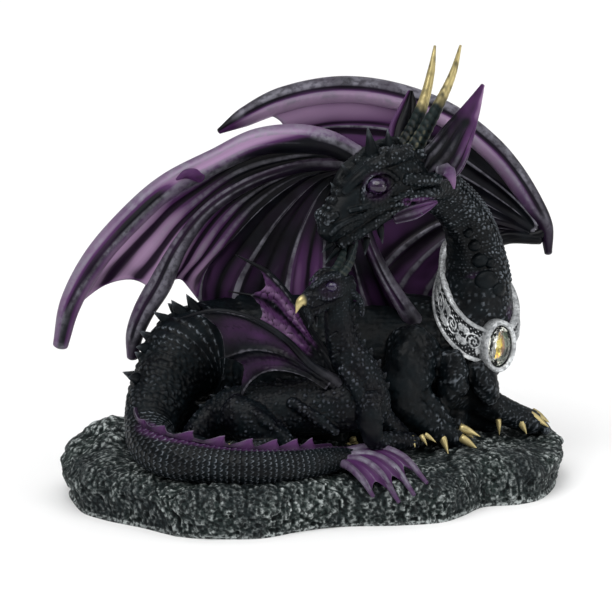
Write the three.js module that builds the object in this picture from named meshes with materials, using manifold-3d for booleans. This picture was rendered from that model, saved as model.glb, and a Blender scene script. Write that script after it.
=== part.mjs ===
// Dragon statue: a mother dragon lying on a rock with her hatchling, cast resin, about 20 cm wide.
// Millimetres, +Z up, +X to the right of the front view, -Y towards the viewer.
// The origin is the middle of the rock's flat underside.
import * as THREE from 'three';
import { mergeVertices } from 'three/addons/utils/BufferGeometryUtils.js';
import Module from 'manifold-3d';

const wasm = await Module();
wasm.setup();

// Driving sizes
const CLEARANCE = 0.3;        // glue line between two castings
const ROCK_TOP = 18.5;        // usual height of the rock's top
const ROCK_MOUND = 10;        // how much the rock rises under the hatchling
const ROCK_LOBE = 11;         // how much it rises at the left end
const MEMBRANE = 1.9;         // thickness of a wing skin between its ribs
const RIB = 4.2;              // thickness of a wing at a rib
const COLLAR_WIDTH = 13;
const COLLAR_PROUD = 2;
const COLLAR_DROP = 17;       // the collar hangs this much lower at the stone than at the neck's middle
const COLLAR_HEIGHT = 76;     // height of the collar's middle
const NECK_FOOT = 48;         // the neck's centre line starts about here and rises evenly
const NECK_RISE = 84;
const STONE_WIDTH = 12;
const STONE_HEIGHT = 17;
const BEZEL_RIM = 2.4;
const BEZEL_DEPTH = 4;
const STONE_SPOT = [77.8, 9.2, 59];
const STONE_TURN = THREE.MathUtils.degToRad(-55);   // the way the stone faces, from +X

const UP = [0, 0, 1];
const RIGHT = [1, 0, 0];
const vec = ([x, y, z]) => new THREE.Vector3(x, y, z);

// Plan of the rock, clockwise seen from below, starting at the left end
const ROCK_PLAN = [
  [-101, 4], [-98, -17], [-91, -30], [-80, -41], [-65, -51], [-49, -63], [-33, -66], [-17, -65],
  [-2, -56], [13, -50], [37, -48], [54, -44], [63, -35], [72, -23], [87, -19], [96, -12],
  [105, 13], [104, 32], [100, 45], [95, 61], [68, 64], [40, 62], [0, 56], [-45, 46], [-82, 34],
];

// Limbs are lists of stations: x, y, z, half width, half height
const BODY = [
  [67, 24, 39, 13, 20], [52, 26, 47, 20.5, 28], [34, 27, 48, 22, 28.5], [12, 27, 48, 21, 28.5],
  [-12, 26, 49, 22, 28.5], [-31, 21, 51, 19, 27], [-47, 11, 55, 17, 19], [-56, -2, 47, 13.5, 14],
  [-61, -18, 37, 11, 11.5], [-61, -33, 30, 9.6, 9.6], [-53, -45, 27.5, 8.8, 8.8],
  [-38, -51, 26, 8, 8], [-20, -52, 25, 7.2, 7.2], [-2, -46, 24.3, 6.4, 6.4],
  [10, -37.5, 24, 5.4, 5.4], [20, -31, 23.5, 3.8, 3.8],
];
const NECK = [
  [58, 25, 46, 19, 20], [66.5, 25, 60, 19, 19.5], [69, 25, 72, 17, 17], [70, 25, 84, 15, 14.5],
  [69, 24, 96, 12.5, 12], [65.5, 20, 108, 11, 10.5], [59, 14, 118, 10.5, 10], [50, 8, 126, 10, 10],
];
const HEAD = [
  [56, 9, 126, 8, 8], [46, 3, 130, 11.5, 12.5], [35, -4, 130, 12, 13], [25, -10, 126, 10, 12],
  [17, -15, 120, 8, 9.5], [11, -18.5, 114, 6.6, 7], [8, -20, 110.5, 4.2, 4.6],
];
const JAW = [
  [40, -4, 122, 8, 4.5], [30, -10, 117.5, 6.5, 4], [21, -15, 111.5, 5, 3.2],
  [13.5, -18.5, 106.8, 3.2, 2.4],
];
const BROW = [[20, -18, 133, 2, 2.4], [28, -18.5, 138, 2.6, 3], [39, -11, 141, 2.2, 2.6]];
const FAR_BROW = [[17, -9, 134, 2, 2.4], [26, -1, 141, 2.6, 3], [36, 5, 143, 2.2, 2.6]];
const NEAR_HORN = [[41, -3, 139, 3.6], [47, -2, 149, 3], [53, 0, 160, 2.2], [58, 2, 171, 1.5],
  [61, 3, 182, 0.5]];
const FAR_HORN = [[38, 5, 140, 3.6], [43, 7, 149, 3], [47, 9, 159, 2.2], [50, 12, 171, 1.5],
  [51.5, 15, 180.5, 0.5]];
const NEAR_EAR = [[47, -6, 131, 3, 2.4], [54, -8, 138, 8.5, 2], [60, -9, 149, 6.5, 1.7],
  [65, -10, 159, 3.6, 1.4], [69, -11, 168, 0.8, 0.8]];
const FAR_EAR = [[36, 7, 138, 4, 2.4], [39, 11, 147, 6, 1.9], [41, 14, 155, 4, 1.5],
  [42, 17, 162, 0.8, 0.8]];
const NEAR_ARM = [
  [44, 8, 58, 11, 14], [41, -1, 49, 10, 12], [38, -5, 41, 8.5, 9], [46, -4, 33, 6.5, 6.5],
  [54, -1, 26, 5.6, 5.6], [61, 3, 21.5, 6.4, 4.8],
];
const FAR_ARM = [
  [65, 21, 52, 10, 12], [68, 19, 42, 8.2, 9], [74, 19, 33.5, 6.6, 6.8], [84, 21, 27.5, 6, 5.8],
  [94, 25, 22.5, 6.6, 5.4],
];
const BELLY = [[-40, 20, 27, 12, 10], [-10, 25, 25, 19, 10], [30, 26, 25, 20, 10],
  [64, 24, 25, 15, 9]];
const THIGH = [[-30, 14, 48, 10, 14], [-18, 8, 47, 15, 20], [-2, 2, 42, 13, 17],
  [8, -3, 34, 8, 10]];
const FOOT = [[6, -2, 33, 6, 8], [2, -7, 29, 7, 6], [14, -10, 25, 6, 5]];
const BACK_THIGH = [[-30, 34, 50, 10, 12], [-18, 41, 44, 13, 19], [-2, 43, 38, 12, 15],
  [8, 44, 31, 8, 9]];
const BACK_FOOT = [[6, 45, 29, 6, 8], [4, 47, 24, 6, 6], [18, 49, 21, 6, 4.5]];
const BACK_SHOULDER = [[46, 38, 58, 10, 13], [44, 45, 46, 9, 12], [48, 48, 34, 7, 8],
  [60, 49, 22, 6, 5]];

const CUB_BODY = [
  [30, -27, 44, 6, 8], [20, -26, 44, 10, 11.5], [5, -23, 42, 10.5, 11.5], [-12, -21, 40, 11, 11],
  [-27, -20, 38, 10, 11], [-39, -21, 34, 6, 7.5], [-45, -31, 30, 4, 4], [-36, -38.5, 28.5, 3, 3],
  [-24, -39, 28.5, 1.6, 1.6],
];
const CUB_NECK = [[24, -27, 44, 9, 9], [21.5, -27, 54, 8.5, 9], [15, -27, 67, 6.4, 6.8],
  [12.5, -27.5, 79, 5.4, 5.4], [13, -28, 88, 4.6, 5]];
const CUB_HEAD = [[17, -26, 91, 4, 4.6], [11, -29, 91.5, 5.8, 6.2], [5, -32, 89, 5, 5.2],
  [0.5, -34.5, 87, 3.4, 3.8]];
const CUB_BEAK = [[2, -34, 88, 3, 3.4], [-2, -36.5, 87, 2.2, 2.4], [-4, -37.5, 82.5, 0.5, 0.5]];
const CUB_JAW = [[9, -29.5, 85.5, 3.6, 2.4], [3, -33, 82.5, 2.8, 2], [1, -34, 80.5, 1.4, 1.2]];
const CUB_NEAR_HORN = [[13, -29.5, 95, 2], [17, -27, 100, 1.5], [20, -23, 108, 0.5]];
const CUB_FAR_HORN = [[11, -25, 96, 2], [14, -20, 101, 1.5], [16, -15, 108, 0.5]];
const CUB_ARM = [[24, -33, 48, 5.5, 7], [25, -36, 39, 4.8, 5.6], [27, -33, 31, 4, 4.2],
  [35, -24, 28, 3.8, 3.8], [42, -16, 25.5, 4.4, 3.6]];
const CUB_FAR_ARM = [[26, -20, 46, 5, 7], [30, -17, 36, 4.6, 5], [38, -12, 27, 4, 4]];
const CUB_THIGH = [[-30, -28, 41, 6, 8], [-22, -31, 37, 6.5, 9], [-13, -33, 33, 5, 6],
  [-8, -34, 30, 4, 4]];
const CUB_FOOT = [[-12, -34, 31, 4, 4], [-20, -37, 29, 4, 3], [-28, -38, 28.5, 3.4, 2.6]];

// Wing fingers radiate from the wrist. web is how far along the finger the skin follows it,
// and dip is how deep its edge curves in before the next finger.
const NEAR_WING = [
  { path: [[20, 16, 136, 4.5], [9, 18, 141, 5.2], [-4, 20, 142.5, 6], [-20, 20, 141, 5.6],
    [-37, 18, 133.5, 5], [-55.5, 15.5, 124, 5.1], [-68.8, 12, 113, 5.3], [-85, 7, 95.4, 5.1],
    [-95.2, 3, 77.5, 4.4], [-99.2, 0, 61.4, 3.1]], web: 0.93, dip: 0.05 },
  { path: [[18, 17, 133, 3], [-2, 23, 131, 3], [-23, 24, 124, 3], [-40, 23, 113, 3.2],
    [-52, 21.5, 98, 4], [-60, 19.5, 82, 5], [-66.6, 18, 71, 4.4], [-70.2, 17, 62, 3.7],
    [-71.4, 17, 52.4, 2.4]], web: 0.66, dip: 0.11 },
  { path: [[18, 18, 132, 2.6], [2, 25, 128, 2.6], [-16, 27, 116, 2.6], [-31, 28, 100, 2.6],
    [-42, 28, 86, 2.6], [-44.5, 27, 69, 1.8]], web: 0.95, dip: 0.02 },
  { path: [[18, 18, 131, 2.4], [5, 26, 125, 2.4], [-8, 28, 112, 2.4], [-20, 28, 95, 2.4],
    [-28, 27, 80, 2.2], [-31, 26, 66, 1.8]], web: 1, dip: 0.02 },
  { path: [[18, 18, 130, 2.4], [9, 26, 123, 2.4], [0, 28, 108, 2.4], [-6, 28, 90, 2.2],
    [-9, 27, 68, 1.8]], web: 1, dip: 0.02 },
  { path: [[19, 18, 129, 2.4], [13, 24, 121, 2.4], [9, 26, 105, 2.4], [8, 26, 88, 2.2],
    [9, 26, 68, 1.8]], web: 1, dip: 0.02 },
  { path: [[20, 17, 128, 2.4], [18, 20, 118, 2.4], [19, 20, 102, 2.4], [22, 20, 87, 2.2],
    [26, 22, 68, 1.8]], web: 1, dip: 0.02 },
  { path: [[21, 15, 128, 3], [22, 13, 118, 2.4], [25, 11, 104, 2.2], [32, 10, 88, 2.6],
    [45, 17, 66, 4]], web: 1, dip: 0 },
];
const FAR_WING = [
  { path: [[101.8, 48, 90, 1.6], [100.5, 49, 101, 3.2], [94.5, 51, 111.5, 4.6], [86.5, 52, 123.5, 5],
    [77, 53.5, 134, 5.2], [60, 55, 146.5, 5.4], [38, 55, 155, 5.6], [14, 54.5, 158, 5.6],
    [-10, 52, 154, 5.4], [-26, 48, 147.3, 4], [-36, 45, 142, 1.2]], web: 0.87, dip: 0.04 },
  { path: [[100, 48.5, 98, 2], [88, 51, 112, 2.6], [73, 53, 124, 2.8], [54, 55, 135.5, 2.8],
    [29, 55.5, 142, 2.8], [3, 54, 141.5, 2.6], [-18, 50, 133, 1.6]], web: 0.93, dip: 0.22 },
  { path: [[99, 48.5, 97, 2], [83, 51, 106, 2.6], [64, 53, 115.5, 2.8], [42, 54, 121, 2.8],
    [17, 53, 119, 2.6], [-4, 50, 110, 1.6]], web: 0.9, dip: 0.22 },
  { path: [[98, 48.5, 96, 2], [80, 50, 101.5, 2.6], [60, 50, 103, 2.8], [44, 46, 95, 2.8],
    [31, 41, 83, 2.6], [26, 37, 71, 2.6]], web: 1, dip: 0.12 },
  { path: [[98, 48, 96, 2.4], [82, 48, 96, 3], [70, 46, 86, 3.8], [61, 42, 73, 4.6],
    [57, 38, 64, 5]], web: 1, dip: 0 },
];
const CUB_NEAR_WING = [
  { path: [[13, -30, 53, 3], [2, -33.5, 61, 2.2], [-8, -32, 71, 1.9], [-22, -29.5, 79, 1.8],
    [-36, -28, 81.5, 1.6], [-50, -26, 78, 0.7]], web: 0.88, dip: 0.06 },
  { path: [[11, -31, 52, 2], [0, -33.5, 60, 1.6], [-9, -32, 65, 1.5], [-21, -29.5, 66.5, 1.4],
    [-34, -27, 62, 0.7]], web: 0.96, dip: 0.14 },
  { path: [[9, -31, 50, 2], [-1, -33, 57, 1.6], [-13, -31, 58.5, 1.5], [-21, -28.5, 54, 1.4],
    [-26, -27, 46, 0.8]], web: 1, dip: 0 },
];
const CUB_FAR_WING = [
  { path: [[14, -22, 53, 3], [6, -16.5, 64, 2.2], [0, -14, 73, 2], [-6, -12, 83, 1.8],
    [-15, -10, 93, 1.6], [-28, -8, 100, 0.7]], web: 0.86, dip: 0.08 },
  { path: [[12, -21, 52, 2], [3, -16, 64, 1.6], [-6, -13, 74, 1.5], [-15, -11, 82, 1.4],
    [-31, -9, 85.5, 0.7]], web: 0.86, dip: 0.16 },
  { path: [[10, -20, 50, 2], [-2, -16, 61, 1.6], [-13, -13, 67, 1.5], [-27, -11, 72, 0.8]],
    web: 1, dip: 0 },
];
const TAIL_FIN = [
  { path: [[14, -33, 25, 2.4], [27, -31, 27, 2], [38, -36, 24.5, 1.7], [47, -46, 17, 0.8]],
    web: 0.92, dip: 0.2 },
  { path: [[14, -34, 24, 2.2], [25, -36, 25.5, 1.8], [34, -42, 22.5, 1.6], [42, -49, 13, 0.8]],
    web: 0.94, dip: 0.2 },
  { path: [[13, -35, 23.5, 2.2], [22, -40, 24, 1.8], [29, -46, 20.5, 1.6], [36, -50.5, 10.5, 0.8]],
    web: 0.94, dip: 0.2 },
  { path: [[12, -36, 23, 2], [17, -43, 22.5, 1.6], [22, -49, 19, 1.4], [26, -51, 13, 0.8]],
    web: 0.94, dip: 0 },
];

// A shape whose seams are closed, ready to be bent
function blank(geometry) {
  geometry.deleteAttribute('normal');
  geometry.deleteAttribute('uv');
  return mergeVertices(geometry, 1e-4);
}

function solidOf(geometry) {
  const spots = geometry.attributes.position.array;
  const faces = Uint32Array.from(geometry.index.array);
  const [a, b, c] = [0, 1, 2].map(() => new THREE.Vector3());
  let volume = 0;
  for (let i = 0; i < faces.length; i += 3) {
    a.fromArray(spots, faces[i] * 3);
    b.fromArray(spots, faces[i + 1] * 3);
    c.fromArray(spots, faces[i + 2] * 3);
    volume += a.dot(b.cross(c));
  }
  const outward = volume > 0 ? faces : faces.reverse();
  return new wasm.Manifold(new wasm.Mesh({ numProp: 3, vertProperties: spots, triVerts: outward }));
}

const join = (solids) => solids.reduce((whole, next) => whole.add(next));

// Cutting can leave chips at a glue line, so only the casting itself is kept.
const casting = (solid) => solid.decompose().sort((p, q) => q.volume() - p.volume())[0];

// A limb's centre line, its girth, and the section's own axes at a place from 0 to 1
function limbAt(stations, facing) {
  const line = new THREE.CatmullRomCurve3(stations.map(vec));
  const girth = new THREE.CatmullRomCurve3(
    stations.map(([, , , w, h = w]) => new THREE.Vector3(w, h, 0)));
  return (s) => {
    const along = line.getTangent(s);
    const side = along.clone().cross(vec(facing)).normalize();
    const up = side.clone().cross(along);
    const [w, h] = girth.getPoint(s).toArray();
    return { spot: line.getPoint(s), along, side, up, w, h };
  };
}

// A closed round limb through its stations: a sphere's rings are carried along the centre line.
function limb(stations, { sides = 10, rings = 8, facing = UP, grow = 0, blunt = 0.55 } = {}) {
  const at = limbAt(stations, facing);
  const shape = blank(new THREE.SphereGeometry(1, sides, rings));
  const spots = shape.attributes.position;
  for (let i = 0; i < spots.count; i += 1) {
    const [x, y, z] = [spots.getX(i), spots.getY(i), spots.getZ(i)];
    const level = Math.round(Math.acos(THREE.MathUtils.clamp(y, -1, 1)) / Math.PI * rings);
    const pole = level === 0 || level === rings;
    const s = pole ? level / rings : (level - 1) / (rings - 2);
    const { spot, along, side, up, w, h } = at(s);
    if (pole) {
      const reach = blunt * Math.min(w, h) + grow;
      spot.addScaledVector(along, level === 0 ? -reach : reach);
    } else {
      const round = Math.hypot(x, z);
      spot.addScaledVector(side, x / round * (w + grow)).addScaledVector(up, z / round * (h + grow));
    }
    spots.setXYZ(i, spot.x, spot.y, spot.z);
  }
  return solidOf(shape);
}

// A pointed spike from its root to its tip, flattened when flat is under 1
function spike(root, tip, radius, { sides = 5, flat = 1, grow = 0 } = {}) {
  const axis = tip.clone().sub(root);
  const cone = blank(new THREE.ConeGeometry(radius + grow, axis.length() + 2 * grow, sides));
  cone.scale(1, 1, flat);
  cone.applyQuaternion(new THREE.Quaternion().setFromUnitVectors(
    new THREE.Vector3(0, 1, 0), axis.clone().normalize()));
  const middle = root.clone().add(tip).multiplyScalar(0.5);
  cone.translate(middle.x, middle.y, middle.z);
  return solidOf(cone);
}

// A row of spikes along a limb's ridge, leaning towards its far end
function crest(stations, { from, to, count, tall, radius, facing = UP, grow = 0, lean = 0.5 }) {
  const at = limbAt(stations, facing);
  const row = [];
  for (let i = 0; i < count; i += 1) {
    const f = i / (count - 1);
    const { spot, along, up, h } = at(from + (to - from) * f);
    const height = tall[0] + (tall[1] - tall[0]) * f;
    const wide = radius[0] + (radius[1] - radius[0]) * f;
    const root = spot.clone().addScaledVector(up, h - 0.25 * wide - 0.6);
    const tip = spot.clone().addScaledVector(up, h + height).addScaledVector(along, lean * height);
    row.push(spike(root, tip, wide, { sides: 3, grow }));
  }
  return join(row);
}

// Claws fan out in front of a paw
function claws(stations, { facing = UP, spread = 0.8, long = 8, radius = 1.9, drop = 0.45, count = 3,
  grow = 0 }) {
  const { spot, along, side, up, w } = limbAt(stations, facing)(1);
  const row = [];
  for (let i = 0; i < count; i += 1) {
    const turn = spread * (i / (count - 1) - 0.5) * 2;
    const way = along.clone().multiplyScalar(Math.cos(turn)).addScaledVector(side, Math.sin(turn));
    const root = spot.clone().addScaledVector(way, 0.35 * w).addScaledVector(up, -0.5);
    const tip = root.clone().addScaledVector(way, long + 0.5 * w).addScaledVector(up, -drop * w);
    row.push(spike(root, tip, radius, { sides: 4, grow }));
  }
  return join(row);
}

// A ribbed skin between fingers: a slab's grid is bent over the fan, thick at each rib.
function web(fingers, { rows = 7, billow = 2.5, skin = MEMBRANE, rib = RIB, grow = 0,
  start = 0.04 } = {}) {
  const lines = fingers.map(({ path }) => new THREE.CatmullRomCurve3(path.map(vec)));
  const gaps = fingers.length - 1;
  const across = [0, 0.32, 0.68];
  const slab = blank(new THREE.BoxGeometry(1, 1, 1, gaps * across.length, rows, 1));
  const flatSpot = (column, row) => {
    const gap = Math.min(Math.floor(column / across.length), gaps - 1);
    const f = column === gaps * across.length ? 1 : across[column % across.length];
    const reach = fingers[gap].web * (1 - f) + fingers[gap + 1].web * f;
    const u = start + (reach * (1 - fingers[gap].dip * Math.sin(Math.PI * f)) - start) * row / rows;
    return lines[gap].getPoint(u).lerp(lines[gap + 1].getPoint(u), f);
  };
  const spots = slab.attributes.position;
  for (let i = 0; i < spots.count; i += 1) {
    const column = Math.round((spots.getX(i) + 0.5) * gaps * across.length);
    const row = Math.round((spots.getY(i) + 0.5) * rows);
    const f = across[column % across.length];
    const spot = flatSpot(column, row);
    const last = gaps * across.length;
    const over = flatSpot(Math.min(column + 1, last), row)
      .sub(flatSpot(Math.max(column - 1, 0), row));
    const down = flatSpot(column, Math.min(row + 1, rows)).sub(flatSpot(column, Math.max(row - 1, 0)));
    const normal = over.clone().cross(down).normalize();
    if (column === 0 || column === last) spot.addScaledVector(over.normalize(), column ? grow : -grow);
    if (row === 0 || row === rows) spot.addScaledVector(down.normalize(), row ? grow : -grow);
    const thick = (f === 0 ? rib : skin) / 2 + grow;
    const sag = f === 0 ? 0 : billow * Math.sin(Math.PI * f) * row / rows;
    spot.addScaledVector(normal, Math.sign(spots.getZ(i)) * thick + sag);
    spots.setXYZ(i, spot.x, spot.y, spot.z);
  }
  return solidOf(slab);
}

function wing(fingers, { bones = [0], sides = 6, rings = 8, grow = 0, ...skin }) {
  const ribs = bones.map((i) => limb(fingers[i].path, { sides, rings, facing: [0, 1, 0], grow }));
  return join([web(fingers, { grow, ...skin }), ...ribs]);
}

// The rock: a sphere's rings become its flat foot, its rough side and its uneven top.
function rockBase(grow = 0) {
  const plan = new THREE.CatmullRomCurve3(ROCK_PLAN.map(([x, y]) => new THREE.Vector3(x, y, 0)), true);
  const around = 40;
  const profile = [[0, 1], [0.3, 1], [0.56, 1], [0.78, 1], [0.93, 0.95], [1, 0.66], [0.99, 0.3],
    [0.985, 0], [0, 0]];
  const shape = blank(new THREE.SphereGeometry(1, around, profile.length - 1));
  const spots = shape.attributes.position;
  const last = profile.length - 1;
  for (let i = 0; i < spots.count; i += 1) {
    const level = Math.round(Math.acos(THREE.MathUtils.clamp(spots.getY(i), -1, 1)) / Math.PI * last);
    const turn = Math.atan2(spots.getZ(i), spots.getX(i)) / (2 * Math.PI);
    const column = Math.round((turn + 1) * around) % around;
    const [out, rise] = profile[level];
    const edge = plan.getPoint(column / around);
    const rough = level > 3 && level < 7 ? 1 + 0.012 * Math.sin(column * 2.4 + level * 1.7) : 1;
    const [x, y] = [edge.x * out * rough, edge.y * out * rough];
    const length = Math.hypot(edge.x, edge.y);
    const wider = 1 + grow / length;
    spots.setXYZ(i, x * wider, y * wider, rise * rockTop(x, y) + Math.sign(rise - 0.01) * grow);
  }
  return solidOf(shape);
}

function rockTop(x, y) {
  const mound = ROCK_MOUND * Math.exp(-(((x + 12) / 36) ** 4) - ((y + 18) / 17) ** 4);
  const lobe = ROCK_LOBE * Math.exp(-(((x + 78) / 15) ** 2) - ((y - 8) / 20) ** 2);
  return ROCK_TOP + mound + lobe + 0.9 * Math.sin(x / 9 + y / 13) + 0.6 * Math.cos(y / 7 - x / 17);
}

// The collar: a band round the neck, lowest at the stone
function collar(grow = 0) {
  const neck = limbAt(NECK, RIGHT);
  const band = blank(new THREE.TorusGeometry(1, 0.5, 4, 22));
  const spots = band.attributes.position;
  for (let i = 0; i < spots.count; i += 1) {
    const [x, y, z] = [spots.getX(i), spots.getY(i), spots.getZ(i)];
    const turn = Math.atan2(y, x);
    const [skew, tall] = [(Math.hypot(x, y) - 1) * 2, z * 2];
    const [out, lift] = [tall + skew, tall - skew];
    const height = COLLAR_HEIGHT - COLLAR_DROP * Math.cos(turn - STONE_TURN);
    const level = height + lift * (COLLAR_WIDTH / 2 + grow);
    const { spot, w, h } = neck(THREE.MathUtils.clamp((level - NECK_FOOT) / NECK_RISE, 0, 1));
    const ride = out * (COLLAR_PROUD + grow) + COLLAR_PROUD * 0.2;
    spots.setXYZ(i, spot.x + Math.cos(turn) * (h + ride), spot.y + Math.sin(turn) * (w + ride), level);
  }
  return solidOf(band);
}

// An oval disc or dome that faces the way the stone does
function facingStone(geometry, forward) {
  geometry.applyQuaternion(new THREE.Quaternion().setFromUnitVectors(
    new THREE.Vector3(0, 1, 0), new THREE.Vector3(Math.cos(STONE_TURN), Math.sin(STONE_TURN), 0)));
  const [x, y, z] = STONE_SPOT;
  geometry.translate(x + Math.cos(STONE_TURN) * forward, y + Math.sin(STONE_TURN) * forward, z);
  return solidOf(geometry);
}

function bezel(grow = 0) {
  const disc = blank(new THREE.CylinderGeometry(1, 1.06, BEZEL_DEPTH + 2 * grow, 22));
  disc.scale(STONE_WIDTH / 2 + BEZEL_RIM + grow, 1, STONE_HEIGHT / 2 + BEZEL_RIM + grow);
  return facingStone(disc, 0);
}

function stone(grow = 0) {
  const dome = blank(new THREE.SphereGeometry(1, 10, 7));
  dome.scale(STONE_WIDTH / 2 + grow, 3.4 + grow, STONE_HEIGHT / 2 + grow);
  return facingStone(dome, 1.6);
}

function motherDragon(grow = 0) {
  const g = { grow };
  const bodyFacing = [-0.45, 0.25, 1];
  const tuft = (root, tip, radius) => spike(vec(root), vec(tip), radius, g);
  return join([
    limb(BODY, { sides: 12, rings: 27, facing: bodyFacing, grow }),
    limb(BELLY, { sides: 7, rings: 5, grow }),
    limb(NECK, { sides: 11, rings: 9, facing: RIGHT, grow }),
    limb(HEAD, { sides: 9, rings: 8, grow }),
    limb(JAW, { sides: 6, rings: 5, grow }),
    limb(BROW, { sides: 4, rings: 4, grow }),
    limb(FAR_BROW, { sides: 4, rings: 4, grow }),
    limb(NEAR_HORN, { sides: 5, rings: 6, facing: RIGHT, grow }),
    limb(FAR_HORN, { sides: 5, rings: 6, facing: RIGHT, grow }),
    limb(NEAR_EAR, { sides: 6, rings: 7, facing: [0.3, -1, 0.2], grow }),
    limb(FAR_EAR, { sides: 6, rings: 5, facing: [0.3, -1, 0.2], grow }),
    limb(NEAR_ARM, { sides: 8, rings: 8, grow }),
    limb(FAR_ARM, { sides: 8, rings: 7, grow }),
    limb(THIGH, { sides: 8, rings: 6, grow }),
    limb(FOOT, { sides: 6, rings: 4, grow }),
    limb(BACK_THIGH, { sides: 8, rings: 5, grow }),
    limb(BACK_FOOT, { sides: 6, rings: 4, grow }),
    limb(BACK_SHOULDER, { sides: 7, rings: 5, grow }),
    claws(NEAR_ARM, { long: 8, spread: 1.1, ...g }),
    claws(FAR_ARM, { long: 7, ...g }),
    claws(BACK_FOOT, { long: 5, radius: 1.6, ...g }),
    claws(BACK_SHOULDER, { long: 5, radius: 1.6, ...g }),
    crest(BODY, { from: 0.14, to: 0.47, count: 7, tall: [3.5, 5.5], radius: [3, 3.2],
      facing: bodyFacing, grow }),
    crest(BODY, { from: 0.52, to: 0.96, count: 12, tall: [4, 2], radius: [3, 1.8],
      facing: bodyFacing, grow }),
    crest(NECK, { from: 0.3, to: 0.97, count: 8, tall: [1.3, 2], radius: [3, 2.2],
      facing: RIGHT, grow }),
    tuft([27, -8, 136], [24, -6, 150], 3),
    tuft([30, -17, 137], [34, -19, 146], 2.2),
    tuft([14, -15, 124], [9, -17, 131], 2),
    tuft([19, -13, 130], [14, -14, 137], 2),
    tuft([13, -18, 105], [7, -20, 98], 2),
    tuft([18, -16, 106], [15, -17, 97], 2),
    tuft([24, -13, 108], [23, -13, 100], 1.8),
    tuft([40, -9, 122], [49, -14, 116], 2.6),
    tuft([42, -8, 127], [52, -14, 124], 2.6),
    web(TAIL_FIN, { rows: 3, billow: 0.6, skin: 2, rib: 3.4, grow }),
    collar(grow),
    bezel(grow),
  ]);
}

function nearWing(grow = 0) {
  const knuckle = spike(vec([-45, 15, 128]), vec([-52, 9, 134]), 2.6, { grow });
  return join([wing(NEAR_WING, { bones: [0, 1, 7], rows: 5, grow }), knuckle]);
}

function farWing(grow = 0) {
  return wing(FAR_WING, { bones: [0, 4], rows: 7, billow: -2.5, grow });
}

function hatchling(grow = 0) {
  const cub = { sides: 6, rings: 6, grow };
  const fine = { skin: 1.4, rib: 2.6, billow: 1, rows: 4, rings: 5, sides: 5, grow };
  return join([
    limb(CUB_BODY, { ...cub, sides: 8, rings: 11 }),
    limb(CUB_NECK, { ...cub, sides: 7, rings: 7, facing: RIGHT }),
    limb(CUB_HEAD, { ...cub, sides: 7 }),
    limb(CUB_BEAK, { ...cub, sides: 5, rings: 5 }),
    limb(CUB_JAW, { ...cub, sides: 5, rings: 4 }),
    limb(CUB_NEAR_HORN, { ...cub, sides: 4, rings: 4 }),
    limb(CUB_FAR_HORN, { ...cub, sides: 4, rings: 4 }),
    limb(CUB_ARM, cub),
    limb(CUB_FAR_ARM, { ...cub, rings: 5 }),
    limb(CUB_THIGH, cub),
    limb(CUB_FOOT, { ...cub, rings: 5 }),
    claws(CUB_ARM, { long: 3.5, radius: 1.2, grow }),
    claws(CUB_FOOT, { long: 3, radius: 1.1, grow }),
    crest(CUB_BODY, { from: 0.16, to: 0.66, count: 5, tall: [2, 1.6], radius: [1.6, 1.2], grow }),
    crest(CUB_NECK, { from: 0.15, to: 0.95, count: 4, tall: [1.8, 1.6], radius: [1.6, 1.3],
      facing: RIGHT, grow }),
    wing(CUB_NEAR_WING, fine),
    wing(CUB_FAR_WING, { ...fine, rows: 3, billow: -1 }),
  ]);
}

function meshOf(name, solid, color, roughness, metalness) {
  const { vertProperties, triVerts } = casting(solid).getMesh();
  const geometry = new THREE.BufferGeometry();
  geometry.setAttribute('position', new THREE.BufferAttribute(vertProperties, 3));
  geometry.setIndex(new THREE.BufferAttribute(triVerts, 1));
  geometry.computeVertexNormals();
  const mesh = new THREE.Mesh(geometry, new THREE.MeshStandardMaterial({ color, roughness, metalness }));
  mesh.name = name;
  return mesh;
}

const grownRock = rockBase(CLEARANCE);
const grownMother = motherDragon(CLEARANCE);
const mother = motherDragon().subtract(grownRock).subtract(stone(CLEARANCE));
const cub = hatchling().subtract(grownRock).subtract(grownMother);
const near = nearWing().subtract(grownMother).subtract(hatchling(CLEARANCE));
const far = farWing().subtract(grownMother).subtract(nearWing(CLEARANCE));

const statue = new THREE.Group();
statue.add(
  meshOf('rock_base', rockBase(), 0x4a5553, 0.9, 0),
  meshOf('mother_dragon', mother, 0x23262e, 0.5, 0),
  meshOf('near_wing', near, 0x4b2a66, 0.4, 0),
  meshOf('far_wing', far, 0x4b2a66, 0.4, 0),
  meshOf('hatchling', cub, 0x2a2d38, 0.5, 0),
  meshOf('gem', stone(), 0x8f9a5a, 0.08, 0),
);

export default statue;
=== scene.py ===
"""Looks of a cast resin dragon statue: a mother dragon lies on a rock with her hatchling.

The tables are in millimetres and repeat the skeletons of the solids. Each sub-assembly is a class
that sculpts its meshes, paints them with vertex marks and puts them on the frame. The marks are
proud (what stands out, 0.5 being level), lilac (purple paint) and gleam (gold paint), from 0 to 1.
On the wing bones proud and lilac also carry a painted highlight along the upper side, and on the
near leading bone painted shade below; on the eyes proud carries painted glints, and on the foil
gleam carries a painted highlight in the middle.
"""

import logging
import math
from dataclasses import dataclass, field
from enum import Enum
from typing import Callable, Sequence

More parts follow.
